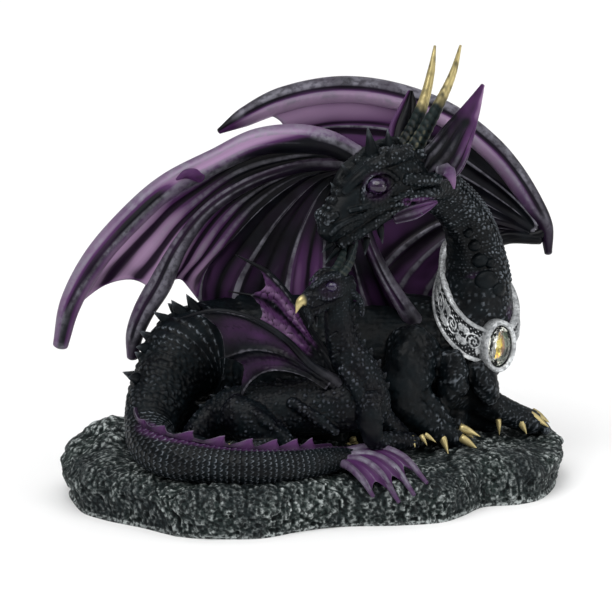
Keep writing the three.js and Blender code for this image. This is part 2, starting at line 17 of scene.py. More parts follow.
import bmesh
import bpy
import numpy as np
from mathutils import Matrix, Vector


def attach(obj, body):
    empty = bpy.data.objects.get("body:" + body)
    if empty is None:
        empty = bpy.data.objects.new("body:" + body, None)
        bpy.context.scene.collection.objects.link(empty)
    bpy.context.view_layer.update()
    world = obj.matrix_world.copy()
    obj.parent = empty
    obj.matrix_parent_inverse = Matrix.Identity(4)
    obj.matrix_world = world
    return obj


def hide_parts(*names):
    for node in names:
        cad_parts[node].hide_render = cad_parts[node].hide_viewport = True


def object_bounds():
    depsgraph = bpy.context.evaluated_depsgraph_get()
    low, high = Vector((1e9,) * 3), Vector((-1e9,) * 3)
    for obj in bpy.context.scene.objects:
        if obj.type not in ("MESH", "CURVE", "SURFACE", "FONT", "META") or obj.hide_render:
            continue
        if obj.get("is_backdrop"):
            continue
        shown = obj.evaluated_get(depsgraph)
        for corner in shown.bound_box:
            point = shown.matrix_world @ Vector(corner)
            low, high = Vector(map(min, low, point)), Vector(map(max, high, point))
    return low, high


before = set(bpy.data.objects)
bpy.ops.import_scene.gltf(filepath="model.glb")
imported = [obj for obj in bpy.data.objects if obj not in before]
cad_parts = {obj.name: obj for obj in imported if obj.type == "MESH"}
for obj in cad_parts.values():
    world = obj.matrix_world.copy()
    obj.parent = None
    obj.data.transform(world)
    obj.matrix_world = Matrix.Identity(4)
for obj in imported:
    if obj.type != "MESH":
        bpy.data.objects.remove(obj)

LOG = logging.getLogger("dragon_statue")
Array = np.ndarray
Rows = Sequence[Sequence[float]]
Triple = tuple[float, float, float]
Piece = bpy.types.Object
MM = 0.001
PER_METRE = 1000
FULL_TURN = 2 * math.pi
TOP_TURN = math.pi / 2
UP = (0.0, 0.0, 1.0)
RIGHT = (1.0, 0.0, 0.0)
LEAF_FACING = (0.3, -1.0, 0.2)
BODY_FACING = (-0.45, 0.25, 1.0)
BODY_NAME = "root"
MARKS = ("proud", "lilac", "gleam")
SEED = 7

ROCK_TOP = 18.5
ROCK_MOUND = 10.0
ROCK_LOBE = 11.0
COLLAR_WIDTH = 13.0
COLLAR_PROUD = 2.0
COLLAR_DROP = 17.0
COLLAR_HEIGHT = 76.0
NECK_FOOT = 48.0
NECK_RISE = 84.0
STONE_WIDTH = 12.0
STONE_HEIGHT = 17.0
STONE_SPOT = (77.8, 9.2, 59.0)
STONE_TURN = math.radians(-55.0)
STONE_OUT = np.array([math.cos(STONE_TURN), math.sin(STONE_TURN), 0.0])
STONE_SIDE = np.array([-math.sin(STONE_TURN), math.cos(STONE_TURN), 0.0])

ROCK_PLAN = (
    (-101, 4), (-98, -17), (-91, -30), (-80, -41), (-65, -51), (-49, -63), (-33, -66), (-17, -65),
    (-2, -56), (13, -50), (37, -48), (54, -44), (63, -35), (72, -23), (87, -19), (96, -12),
    (105, 13), (104, 32), (100, 45), (95, 61), (68, 64), (40, 62), (0, 56), (-45, 46), (-82, 34),
)


# Paths, limbs and shells

def unit(rows: Array) -> Array:
    """Rows scaled to a length of one."""
    return rows / np.maximum(np.linalg.norm(rows, axis=-1, keepdims=True), 1e-9)


def ease(value: Array, low: float, high: float) -> Array:
    """A smooth step from 0 at low to 1 at high, or down where low is above high."""
    part = np.clip((value - low) / (high - low), 0.0, 1.0)
    return part * part * (3.0 - 2.0 * part)


def near_to(points: Array, spot: Sequence[float], sizes: Sequence[float] | float, low: float,
            high: float) -> Array:
    """A smooth step by the distance from a spot, measured in sizes."""
    return ease(np.linalg.norm((points - np.array(spot)) / np.array(sizes), axis=1), low, high)


def spline(points: Rows, place: Array, closed: bool = False) -> Array:
    """Centripetal curve through points.

    Args:
        points: the curve's knots.
        place: places from 0 to 1 along it, of any shape.
        closed: whether the curve runs back to its first knot.

    Returns:
        The curve's points, one row for each place.
    """
    knots = np.asarray(points, float)
    count = len(knots)
    if closed:
        scaled = (np.asarray(place, float) % 1.0) * count
        first = np.floor(scaled).astype(int)
        near = knots[(first[..., None] + np.arange(-1, 3)) % count]
    else:
        longer = np.vstack([2 * knots[0] - knots[1], knots, 2 * knots[-1] - knots[-2]])
        scaled = np.clip(np.asarray(place, float), 0, 1) * (count - 1)
        first = np.minimum(np.floor(scaled).astype(int), count - 2)
        near = longer[first[..., None] + np.arange(4)]
    part = (scaled - first)[..., None]
    a, b, c, d = (near[..., i, :] for i in range(4))
    gaps = [np.sqrt(np.linalg.norm(q - p, axis=-1, keepdims=True))
            for p, q in ((a, b), (b, c), (c, d))]
    middle = np.where(gaps[1] < 1e-4, 1.0, gaps[1])
    before, after = (np.where(gap < 1e-4, middle, gap) for gap in gaps[::2])
    leave = ((b - a) / before - (c - a) / (before + middle) + (c - b) / middle) * middle
    reach = ((c - b) / middle - (d - b) / (middle + after) + (d - c) / after) * middle
    return (b + leave * part + (3 * (c - b) - 2 * leave - reach) * part**2
            + (2 * (b - c) + leave + reach) * part**3)


@dataclass(frozen=True)
class Limb:
    """A round limb: stations of place, half width and half height, and the way its top faces."""

    stations: Rows
    facing: Sequence[float] = UP
    blunt: float = 0.55

    def spot(self, place: Array) -> Array:
        """Points on the centre line."""
        return spline([row[:3] for row in self.stations], place)

    def axes(self, place: Array) -> tuple[Array, Array, Array, Array, Array]:
        """The limb's own directions.

        Args:
            place: places from 0 to 1 along it.

        Returns:
            The centre, the way along, the side, the top and the half sizes there.
        """
        place = np.asarray(place, float)
        along = unit(self.spot(np.minimum(place + 1e-4, 1)) - self.spot(np.maximum(place - 1e-4, 0)))
        side = unit(np.cross(along, self.facing))
        girth = spline([(row[3], row[-1], 0.0) for row in self.stations], place)[..., :2]
        return self.spot(place), along, side, np.cross(side, along), girth

    def skin(self, place: Array, turn: Array, proud: Array = 0.0) -> Array:
        """Points on the limb's skin.

        Args:
            place: places from 0 to 1 along it.
            turn: radians round it, pi / 2 being its top.
            proud: millimetres above the skin.

        Returns:
            One row for each point.
        """
        spot, _, side, top, girth = self.axes(place)
        wide = (np.cos(turn) * (girth[..., 0] + proud))[..., None]
        tall = (np.sin(turn) * (girth[..., 1] + proud))[..., None]
        return spot + side * wide + top * tall

    def length(self, start: float = 0.0, stop: float = 1.0) -> float:
        """Millimetres along the centre line."""
        steps = self.spot(np.linspace(start, stop, 120))
        return float(np.linalg.norm(np.diff(steps, axis=0), axis=1).sum())


@dataclass
class Shell:
    """Points in millimetres, faces and vertex marks, before they become a mesh."""

    points: Array
    quads: Array
    tris: Array = field(default_factory=lambda: np.zeros((0, 3), int))
    marks: dict[str, Array] = field(default_factory=dict)

    def corners(self) -> Array:
        """All faces as triangles."""
        q = self.quads
        return np.vstack([q[:, [0, 1, 2]], q[:, [0, 2, 3]], self.tris])

    def faced_out(self) -> "Shell":
        """Turns the faces outwards.

        Returns:
            The shell itself.
        """
        a, b, c = (self.points[self.corners()[:, i]] for i in range(3))
        if np.einsum("ij,ij->i", a, np.cross(b, c)).sum() < 0:
            self.quads, self.tris = self.quads[:, ::-1], self.tris[:, ::-1]
        return self

    def normals(self) -> Array:
        """Smooth vertex normals.

        Returns:
            One row for each point.
        """
        faces = self.corners()
        a, b, c = (self.points[faces[:, i]] for i in range(3))
        cross = np.cross(b - a, c - a)
        total = np.zeros_like(self.points)
        for column in range(3):
            for axis in range(3):
                total[:, axis] += np.bincount(faces[:, column], cross[:, axis], len(total))
        return unit(total)

    def edges(self) -> Array:
        """Neighbouring vertices.

        Returns:
            One row for each pair.
        """
        q, t = self.quads, self.tris
        pairs = np.vstack([q[:, [0, 1]], q[:, [1, 2]], q[:, [2, 3]], q[:, [3, 0]],
                           t[:, [0, 1]], t[:, [1, 2]], t[:, [2, 0]]])
        return np.unique(np.sort(pairs, axis=1), axis=0)

    def paint(self, **marks: Array | float) -> None:
        """Gives the points marks, each one value for all of them or one for each."""
        for name, values in marks.items():
            self.marks[name] = values + np.zeros(len(self.points))


def joined(shells: Sequence[Shell]) -> Shell:
    """Several shells as one.

    Args:
        shells: the shells.

    Returns:
        All their points and faces, with the marks that they share.
    """
    start = np.cumsum([0] + [len(shell.points) for shell in shells])
    shared = set.intersection(*(set(shell.marks) for shell in shells))
    return Shell(
        np.vstack([shell.points for shell in shells]),
        np.vstack([shell.quads + at for shell, at in zip(shells, start)]),
        np.vstack([shell.tris + at for shell, at in zip(shells, start)]),
        {name: np.concatenate([shell.marks[name] for shell in shells]) for name in sorted(shared)})


def relaxed(values: Array, edges: Array, rounds: int, strength: float = 0.5) -> Array:
    """Values drawn towards the mean of their neighbours.

    Args:
        values: one row for each vertex.
        edges: pairs of neighbours.
        rounds: how many times.
        strength: how far each time, from 0 to 1.

    Returns:
        The smoother values.
    """
    count = len(values)
    degree = np.maximum(np.bincount(edges.ravel(), minlength=count), 1)[:, None]
    values = values.copy()
    for _ in range(rounds):
        total = np.stack([
            np.bincount(edges[:, 0], column[edges[:, 1]], count)
            + np.bincount(edges[:, 1], column[edges[:, 0]], count) for column in values.T], axis=1)
        values += strength * (total / degree - values)
    return values


def grid_faces(rows: int, columns: int, closed: bool, looped: bool = False) -> Array:
    """Quads between the rows of a grid.

    Args:
        rows: points down.
        columns: points across.
        closed: whether each row runs round.
        looped: whether the last row meets the first.

    Returns:
        The quads.
    """
    down, across = rows if looped else rows - 1, columns if closed else columns - 1
    i, j = (part.ravel() for part in np.meshgrid(np.arange(down), np.arange(across), indexing="ij"))
    below, after = (i + 1) % rows, (j + 1) % columns
    return np.stack([i * columns + j, below * columns + j, below * columns + after,
                     i * columns + after], 1)


def capped(rings: Array, poles: Array, marks: dict[str, Array] | None = None) -> Shell:
    """A closed skin from rings of points.

    Args:
        rings: points by ring and side.
        poles: one point at each end.
        marks: its marks.

    Returns:
        The shell.
    """
    rows, sides = rings.shape[:2]
    ring = np.arange(sides)
    after = (ring + 1) % sides
    first, last, low = rows * sides, rows * sides + 1, (rows - 1) * sides
    caps = np.vstack([np.stack([np.full(sides, first), ring, after], 1),
                      np.stack([np.full(sides, last), low + after, low + ring], 1)])
    points = np.vstack([rings.reshape(-1, 3), poles])
    return Shell(points, grid_faces(rows, sides, True), caps, marks or {}).faced_out()


@dataclass(frozen=True)
class Skin:
    """Where each point of a limb's skin lies: its place, millimetres along the limb and turn."""

    place: Array
    along: Array
    turn: Array


def tube(limb: Limb, step: float = 1.0, sides: int = 40, span: tuple[float, float] = (0.0, 1.0),
         relief: Callable[[Skin], Array] | None = None, grow: float = 0.0, domes: int = 5) -> Shell:
    """A limb's closed skin with round ends.

    Args:
        limb: the limb.
        step: millimetres between its rings.
        sides: points round it.
        span: the stretch of the limb that is covered.
        relief: gives how far each point stands proud, in millimetres.
        grow: how much wider the whole skin is.
        domes: rings of each round end.

    Returns:
        The shell, with the marks place and turn.
    """
    rings = max(int(limb.length(*span) / step), 5)
    bend = np.arange(1, domes + 1) / (domes + 1) * math.pi / 2
    place = np.concatenate([np.full(domes, span[0]), np.linspace(*span, rings), np.full(domes, span[1])])
    shrink = np.concatenate([np.sin(bend), np.ones(rings), np.sin(bend)[::-1]])
    shift = np.concatenate([-np.cos(bend), np.zeros(rings), np.cos(bend)[::-1]])
    spot, way, side, top, girth = limb.axes(place)
    reach = limb.blunt * girth.min(axis=1) + grow
    spot = spot + way * (shift * reach)[:, None]
    along = np.concatenate([[0.0], np.cumsum(np.linalg.norm(np.diff(spot, axis=0), axis=1))])
    turn = np.arange(sides) / sides * FULL_TURN
    wide = np.cos(turn)[None, :] * (girth[:, :1] + grow) * shrink[:, None]
    tall = np.sin(turn)[None, :] * (girth[:, 1:] + grow) * shrink[:, None]
    places, alongs = (np.repeat(values[:, None], sides, 1) for values in (place, along))
    turns = np.repeat(turn[None, :], len(place), 0)
    points = spot[:, None] + side[:, None] * wide[..., None] + top[:, None] * tall[..., None]
    if relief is not None:
        proud = relief(Skin(places, alongs, turns))
        lean = np.stack([np.cos(turns) / girth[:, :1], np.sin(turns) / girth[:, 1:]], -1)
        lean = unit(lean) * (proud * shrink[:, None])[..., None]
        points = points + side[:, None] * lean[..., :1] + top[:, None] * lean[..., 1:]
    poles = np.stack([limb.spot(np.array(span[0])) - way[0] * reach[0],
                      limb.spot(np.array(span[1])) + way[-1] * reach[-1]])
    marks = {name: np.append(values.ravel(), ends) for name, values, ends in
             (("place", places, span), ("turn", turns, [0.0, 0.0]))}
    return capped(points, poles, marks)


def tubes(limbs: Sequence[Limb], step: float, sides: int) -> list[Shell]:
    """The closed skins of several limbs."""
    return [tube(limb, step, sides) for limb in limbs]


CREST_TIP = ((-0.026, 0.0), (-0.014, 0.4), (-0.006, 0.85), (0.0, 1.0), (0.009, 0.12))


def crest(limb: Limb, span: tuple[float, float], tips: Sequence[float], tall: float, low: float,
          thick: float, lean: float) -> Shell:
    """A wavy fin along a limb's top, with hollow edges between its tips.

    Args:
        limb: the limb.
        span: its first and last place.
        tips: the places of its tips.
        tall: height at a tip in millimetres.
        low: height between the tips.
        thick: half its thickness at the root.
        lean: how far the tips lean along the limb, in heights.

    Returns:
        The shell, with its paint.
    """
    rows, sides, sunk = 460, 20, 1.5
    at = np.linspace(*span, rows)
    stops = [(tip + shift, share) for tip in tips for shift, share in CREST_TIP]
    share = np.interp(at, *zip(*stops))[:, None]
    _, along, _, top, _ = limb.axes(at)
    side = np.cross(along, top)
    turn = np.arange(sides) / sides * FULL_TURN
    up = np.sin(turn)[None, :]
    height = (low + (tall - low) * share) * np.where(up > 0, up, 0.0) + sunk * np.minimum(up, 0)
    wide = np.cos(turn) * thick * (1 - 0.7 * np.maximum(up, 0))
    root = limb.skin(at, np.array(TOP_TURN), 0.0)
    rings = (root[:, None] + top[:, None] * height[..., None] + side[:, None] * wide[..., None]
             + along[:, None] * (lean * np.maximum(height, 0) * share)[..., None])
    marks = {"proud": 0.34 + 0.45 * np.maximum(up, 0) ** 3 * np.ones_like(share),
             "lilac": (0.16 + 0.3 * share) * np.ones_like(up)}
    marks = {name: np.append(rows.ravel(), [0.4, 0.4]) for name, rows in marks.items()}
    return capped(rings, rings[[0, -1]].mean(axis=1), marks)


def ball(centre: Sequence[float], sizes: Sequence[float], tilt: float = 0.0, sides: int = 24) -> Shell:
    """A closed oval lump.

    Args:
        centre: its middle.
        sizes: its half sizes.
        tilt: radians that it is turned about the upright axis.
        sides: points round it.

    Returns:
        The shell.
    """
    long, wide, tall = sizes
    fine = 0.01
    shell = tube(Limb(((-long, 0, 0, fine), (0, 0, 0, wide, tall), (long, 0, 0, fine))), long / 12,
                 sides, domes=1)
    cos, sin = math.cos(tilt), math.sin(tilt)
    spun = np.array([[cos, sin, 0], [-sin, cos, 0], [0, 0, 1]])
    shell.points = (unit(shell.points / np.array(sizes)) * np.array(sizes)) @ spun + np.array(centre)
    return shell


# Patterns that repeat over a surface

def scramble(cell: Array, seed: int) -> Array:
    """Even random numbers for whole-number cells.

    Args:
        cell: three whole numbers in each row.
        seed: which numbers.

    Returns:
        Three numbers from 0 to 1 for each cell.
    """
    key = (cell[..., 0] * 73856093) ^ (cell[..., 1] * 19349663) ^ (cell[..., 2] * 83492791)
    key = (key ^ (seed * 40503)).astype(np.uint32)
    out = []
    for stir in (0x85EBCA6B, 0xC2B2AE35, 0x27D4EB2F):
        key = key ^ (key >> np.uint32(16))
        key = key * np.uint32(stir)
        key = key ^ (key >> np.uint32(13))
        out.append(key / 2.0**32)
    return np.stack(out, -1)


def cells(points: Array, size: float, seed: int = SEED) -> tuple[Array, Array]:
    """Pebbles packed in space.

    Args:
        points: where to look.
        size: usual distance between pebbles, in the points' units.
        seed: which packing.

    Returns:
        How domed each point is, 0 in a crevice to about 1 on a pebble's middle, and a random
        number for each pebble.
    """
    scaled = points / size
    base = np.floor(scaled).astype(np.int64)
    nearest, second = np.full(len(points), 9.0), np.full(len(points), 9.0)
    chance = np.zeros(len(points))
    for offset in np.ndindex(3, 3, 3):
        cell = base + np.array(offset) - 1
        random = scramble(cell, seed)
        away = np.linalg.norm(cell + 0.15 + 0.7 * random - scaled, axis=1)
        closer = away < nearest
        second = np.where(closer, nearest, np.minimum(second, away))
        chance = np.where(closer, random[:, 0], chance)
        nearest = np.where(closer, away, nearest)
    return np.clip(1.0 - nearest * nearest * 1.6, 0, 1) * ease(second - nearest, 0.0, 0.25), chance


def drift(points: Array, size: float, seed: int = SEED) -> Array:
    """Soft random values that change over about a size.

    Args:
        points: where to look.
        size: that size, in the points' units.
        seed: which values.

    Returns:
        Values from -1 to 1.
    """
    scaled = points / size
    base = np.floor(scaled).astype(np.int64)
    part = scaled - base
    part = part * part * (3 - 2 * part)
    total = np.zeros(len(points))
    for offset in np.ndindex(2, 2, 2):
        weight = np.prod(np.where(np.array(offset) == 1, part, 1 - part), axis=1)
        total += weight * scramble(base + np.array(offset), seed)[:, 0]
    return total * 2 - 1


def rough(points: Array, size: float, octaves: int = 4, seed: int = SEED) -> Array:
    """Drift at several sizes, each half the one before."""
    return sum(drift(points, size / 2**i, seed + i) / 2**i for i in range(octaves))


def shingles(skin: Skin, pitch: float, count: int, overlap: float = 0.3) -> Array:
    """Rows of overlapping scales round a limb.

    Args:
        skin: where the points lie.
        pitch: millimetres between rows.
        count: scales in a row.
        overlap: how far a scale's middle reaches over the next row, in rows.

    Returns:
        Height from 0 at a scale's root to 1 at its free edge.
    """
    row = np.floor(skin.along / pitch)
    column = skin.turn / FULL_TURN * count + 0.5 * (row % 2)
    across = (column - np.floor(column) - 0.5) * 2
    rise = skin.along / pitch - row + overlap * across**2
    free = np.where(rise < 1, rise, 0.15)
    return free * (1 - 0.75 * across**4)


# Finishes

SMOOTH_STEP = ("ShaderNodeMapRange", {"interpolation_type": "SMOOTHSTEP"})
LAY_OVER = ("ShaderNodeMix", {"data_type": "RGBA"})
MATH = "ShaderNodeMath"
TIMES = (MATH, {"operation": "MULTIPLY", "use_clamp": True})
LARGER = (MATH, {"operation": "MAXIMUM", "use_clamp": True})
NOISE = "ShaderNodeTexNoise"
RAMP = "ShaderNodeValToRGB"


def linear(code: str, alpha: float = 1.0) -> tuple[float, float, float, float]:
    """An sRGB hex colour as linear values."""
    values = [int(code[i:i + 2], 16) / 255 for i in (1, 3, 5)]
    return (*(v / 12.92 if v <= 0.04045 else ((v + 0.055) / 1.055) ** 2.4 for v in values), alpha)


def fill(node: bpy.types.Node, inputs: dict | Sequence) -> None:
    """Sets or links a node's inputs.

    Args:
        node: the node.
        inputs: values or sockets, by name or number, or in order.
    """
    for name, value in (inputs if isinstance(inputs, dict) else dict(enumerate(inputs))).items():
        if isinstance(value, bpy.types.NodeSocket):
            node.id_data.links.new(value, node.inputs[name])
        else:
            node.inputs[name].default_value = value


def add(tree: bpy.types.NodeTree, kind: str, settings: dict | None = None,
        inputs: dict | Sequence = (), out: int | str = 0) -> bpy.types.NodeSocket | None:
    """Adds a node.

    Args:
        tree: the tree to add to.
        kind: the node's type name.
        settings: its properties.
        inputs: values or sockets for its inputs.
        out: which of its outputs is wanted.

    Returns:
        That output, or None where the node has none.
    """
    node = tree.nodes.new(kind)
    for name, value in (settings or {}).items():
        setattr(node, name, value)
    fill(node, inputs)
    return node.outputs[out] if len(node.outputs) else None


def new_material(name: str) -> tuple[bpy.types.Material, bpy.types.NodeTree, bpy.types.Node]:
    """Makes a material.

    Args:
        name: its name.

    Returns:
        The material, its tree and its shader.
    """
    material = bpy.data.materials.new(name)
    material.use_nodes = True
    return material, material.node_tree, material.node_tree.nodes["Principled BSDF"]


@dataclass(frozen=True)
class Grain:
    """A fine random pattern: its real size in millimetres and its depth."""

    size_mm: float
    depth_mm: float


@dataclass(frozen=True)
class PaintedResin:
    """Cast polyresin, sprayed with a satin base coat, washed dark and dry-brushed by hand.

    The wash gathers in the hollows and the dry brush catches what stands proud, so the marks
    proud, lilac and gleam decide where each paint lies. The eye sees a dull dark form whose scales
    are picked out in silver. On the wing bones' upper sides and in random patches on the eyes, proud
    is lifted without relief, so the dry brush there is a painted highlight and painted glints.
    """

    name: str
    base: str
    tint: str
    wash: str
    brush: str
    glaze: tuple[str, str, str] = ("#0b0811", "#4c2b55", "#b394b6")
    brushed: float = 0.8
    brush_from: float = 0.56
    brush_full: float = 0.86
    brush_metal: float = 0.5
    roughness: float = 0.42
    # Thicker and thinner spray, in patches of about a centimetre
    mottle: Grain = Grain(9.0, 0.0)
    # Sprayed paint is grained at about 0.1 mm, under a pixel, so it is drawn about five times as coarse
    grain: Grain = Grain(0.55, 0.03)
    lustre: float = 0.15
    specular: float = 0.12
    speckle: float = 0.0
    # Flecks that the dry brush leaves, in grains; drawn two to three times as coarse for the same reason
    fleck: float = 3.0
    gleam: str = "#bdae7c"
    gleam_metal: float = 0.6

    def material(self) -> bpy.types.Material:
        """Builds the material.

        Returns:
            The material, which reads the marks and Object coordinates.
        """
        material, tree, shader = new_material(self.name)
        spot = add(tree, "ShaderNodeTexCoord", out="Object")
        proud, lilac, gleam = (
            add(tree, "ShaderNodeAttribute", {"attribute_name": name}, out="Fac") for name in MARKS)
        mottle, speck, fine = (
            add(tree, NOISE, None, {"Vector": spot, "Scale": PER_METRE / size, "Detail": detail})
            for size, detail in ((self.mottle.size_mm, 4.0), (self.grain.size_mm * self.fleck, 3.0),
                                 (self.grain.size_mm, 2.0)))
        glaze = add(tree, RAMP, None, (lilac,))
        stops = glaze.node.color_ramp.elements
        stops[0].color, stops[1].color = (linear(code) for code in self.glaze[::2])
        stops.new(0.45).color = linear(self.glaze[1])
        patchy = add(tree, *SMOOTH_STEP, (speck, 0.3, 0.6, 0.35, 1.0))
        uneven = add(tree, *SMOOTH_STEP, (mottle, 0.38, 0.6, 0.45, 1.0))
        tinted = add(tree, *SMOOTH_STEP, (mottle, 0.35, 0.68, 0.0, 1.0))
        glazed = add(tree, *SMOOTH_STEP, (lilac, 0.02, 0.3, 0.0, 1.0))
        washed = add(tree, *SMOOTH_STEP, (proud, 0.47, 0.2, 0.0, 0.85))
        layers = [(tinted, linear(self.tint)), (glazed, glaze), (washed, linear(self.wash))]
        if self.speckle:
            pits = add(tree, *SMOOTH_STEP, (speck, 0.5, 0.4, 0.0, self.speckle))
            patchy = add(tree, *SMOOTH_STEP, (speck, 0.42, 0.62, 0.1, 1.0))
            layers.append((pits, linear(self.wash)))
        caught = add(tree, *SMOOTH_STEP, (proud, self.brush_from, self.brush_full, 0.0, self.brushed))
        for share in (patchy, uneven):
            caught = add(tree, *TIMES, (caught, share))
        shine = add(tree, *SMOOTH_STEP, (gleam, 0.1, 0.9, 0.0, 1.0))
        layers += [(caught, linear(self.brush)), (shine, linear(self.gleam))]
        colour = linear(self.base)
        for share, over in layers:
            colour = add(tree, *LAY_OVER, {0: share, 6: colour, 7: over}, 2)
        pearl = add(tree, *SMOOTH_STEP, (lilac, 0.2, 0.9, 0.0, 1.0))
        metal = add(tree, *TIMES, (caught, self.brush_metal))
        for share, strength in ((shine, self.gleam_metal), (pearl, self.lustre)):
            metal = add(tree, *LARGER, (metal, add(tree, *TIMES, (share, strength))))
        dull = add(tree, *SMOOTH_STEP, (mottle, 0.3, 0.7, self.roughness - 0.07, self.roughness + 0.1))
        bump = add(tree, "ShaderNodeBump", None, {
            "Strength": 1.0, "Distance": self.grain.depth_mm * MM, "Height": fine})
        fill(shader, {"Base Color": colour, "Metallic": metal, "Roughness": dull, "IOR": 1.5,
                      "Specular IOR Level": self.specular, "Normal": bump})
        return material


@dataclass(frozen=True)
class Plain:
    """An even material: cut acrylic stone, moulded with sharp facets and clear, or white paper."""

    name: str
    tint: str
    roughness: float
    clear: float = 0.0

    def material(self) -> bpy.types.Material:
        """Builds the material with plain values, so that a clear one stays see-through.

        Returns:
            The material.
        """
        material, _, shader = new_material(self.name)
        fill(shader, {"Base Color": linear(self.tint), "Roughness": self.roughness})
        if self.clear:
            fill(shader, {"IOR": 1.49, "Transmission Weight": self.clear})
        return material


@dataclass(frozen=True)
class Foil:
    """Iridescent foil behind the stone: gold in the middle with a pale yellow painted highlight, rose
    about it, grey green outside.
    """

    name: str
    # Creases of real foil are about half a millimetre apart; these are wider, so that they show
    patch_mm: float = 1.9
    # The pale yellow end is a painted highlight where the foil's middle is brightest; the other tones
    # are the foil's own colours
    ends: tuple[str, str] = ("#3a4741", "#fff3a0")
    tones: Sequence[tuple[float, str]] = (
        (0.2, "#6f8078"), (0.38, "#a87a70"), (0.52, "#94761c"), (0.74, "#e6c832"))

    def material(self) -> bpy.types.Material:
        """Builds the material.

        Returns:
            The material, which reads the mark gleam.
        """
        material, tree, shader = new_material(self.name)
        spot = add(tree, "ShaderNodeTexCoord", out="Object")
        patches = add(tree, "ShaderNodeTexVoronoi", None,
                      {"Vector": spot, "Scale": PER_METRE / self.patch_mm}, "Color")
        middle = add(tree, "ShaderNodeAttribute", {"attribute_name": "gleam"}, out="Fac")
        mixed = add(tree, MATH, {"operation": "MULTIPLY_ADD"}, (patches, 0.45, middle))
        mixed = add(tree, MATH, {"operation": "SUBTRACT", "use_clamp": True}, (mixed, 0.22))
        tones = add(tree, RAMP, None, (mixed,))
        stops = tones.node.color_ramp.elements
        stops[0].color, stops[1].color = (linear(code) for code in self.ends)
        for at, code in self.tones:
            stops.new(at).color = linear(code)
        fill(shader, {"Base Color": tones, "Metallic": 0.7, "Roughness": 0.22})
        return material


class Finish(Enum):
    """The statue's finishes."""

    # Near-black blue green resin with silver on the scales
    SCALES = PaintedResin("resin_black_green_silver_brushed", "#05080b", "#091115", "#010203",
                          "#80878f", brushed=0.62, brush_from=0.6, brush_full=0.92)
    # The hatchling's resin is a little more purple
    CUB_SCALES = PaintedResin("resin_blue_black_silver_brushed", "#05060b", "#070f13", "#020204",
                              "#747985", brushed=0.5, brush_from=0.6, brush_full=0.92)
    # Pearl purple airbrushed over black, with grey lilac on the ribs; on the bones' upper sides that
    # grey lilac is a painted highlight
    MEMBRANE = PaintedResin("resin_black_pearl_purple", "#050509", "#0a0e13", "#030206", "#83818c",
                            brushed=0.7, brush_from=0.58, brush_metal=0.25, roughness=0.38,
                            lustre=0.1, grain=Grain(0.8, 0.015))
    # Horn and claw: gold paint over black
    GOLD = PaintedResin("resin_gold_painted", "#10171a", "#1c2626", "#0d0a05", "#a39c80",
                        brushed=0.4, roughness=0.34, grain=Grain(0.5, 0.02))
    # Bright silver paint with a black wash left in the scrollwork
    SILVER = PaintedResin("resin_silver_leafed", "#3a3e42", "#303437", "#08090b", "#e4e7e9",
                          brushed=1.0, brush_from=0.34, brush_full=0.62, brush_metal=0.5,
                          roughness=0.32, grain=Grain(0.4, 0.02))
    # Gloss purple eye, with random patches of its pale brush colour as painted glints
    EYE = PaintedResin("resin_gloss_purple_eye", "#161022", "#2c2140", "#07060b", "#8f8aa3",
                       brushed=0.6, roughness=0.14, brush_metal=0.3, grain=Grain(0.5, 0.01),
                       specular=0.5)
    # Coarse cast rock, grey green with pale grey dry brush
    ROCK = PaintedResin("resin_rock_grey_green", "#181f21", "#262f2d", "#060a0b", "#c2c9c8",
                        brushed=0.85, brush_from=0.42, brush_full=0.84, brush_metal=0.03,
                        roughness=0.75, mottle=Grain(16.0, 0.0), grain=Grain(0.8, 0.3), speckle=0.85,
                        fleck=1.7)
    # Clear stone over an iridescent foil
    STONE = Plain("acrylic_stone_clear", "#fafaf0", 0.02, 1.0)
    FOIL = Foil("foil_iridescent")
    # The floor of the scene
    PAPER = Plain("paper_white", "#f7f7f7", 0.9)


_made: dict[str, bpy.types.Material] = {}


def finish_material(finish: Finish) -> bpy.types.Material:
    """Finds or builds a finish's material.

    Args:
        finish: the finish.

    Returns:
        Its material, the same one each time.
    """
    if finish.name not in _made:
        _made[finish.name] = finish.value.material()
    return _made[finish.name]


# From shells to pieces on the frame

class Part(Enum):
    """What a piece belongs to: the record's material slot and the solid that it stands for."""

    ROCK = ("rock", "rock_base")
    MOTHER = ("dragon_skin", "mother_dragon")
    MOTHER_FINS = ("wing_skin", "mother_dragon")
    NEAR_WING = ("wing_skin", "near_wing")
    FAR_WING = ("wing_skin", "far_wing")
    CUB = ("hatchling_skin", "hatchling")
    STONE = ("stone", "gem")


def linked(name: str, data: bpy.types.ID) -> Piece:
    """Makes an object of data and puts it in the scene.

    Args:
        name: its name.
        data: its mesh, camera or light.

    Returns:
        The object.
    """
    thing = bpy.data.objects.new(name, data)
    bpy.context.scene.collection.objects.link(thing)
    return thing


def mesh_object(name: str, shell: Shell, smooth: bool = True) -> Piece:
    """Makes an object in metres from a shell in millimetres.

    Args:
        name: the object's name.
        shell: the shell, whose marks become attributes.
        smooth: whether its faces are shaded smooth.

    Returns:
        The object.
    """
    mesh = bpy.data.meshes.new(name)
    loops = np.concatenate([shell.quads.ravel(), shell.tris.ravel()]).astype(np.int32)
    quads, tris = len(shell.quads), len(shell.tris)
    starts = np.concatenate([np.arange(quads) * 4, quads * 4 + np.arange(tris) * 3]).astype(np.int32)
    mesh.vertices.add(len(shell.points))
    mesh.vertices.foreach_set("co", (shell.points * MM).astype(np.float32).ravel())
    mesh.loops.add(len(loops))
    mesh.polygons.add(len(starts))
    mesh.polygons.foreach_set("loop_start", starts)
    mesh.polygons.foreach_set("vertices", loops)
    mesh.polygons.foreach_set("use_smooth", np.full(len(starts), smooth))
    mesh.update(calc_edges=True)
    for mark, values in shell.marks.items():
        layer = mesh.attributes.new(mark, "FLOAT", "POINT")
        layer.data.foreach_set("value", np.asarray(values, np.float32))
    return linked(name, mesh)


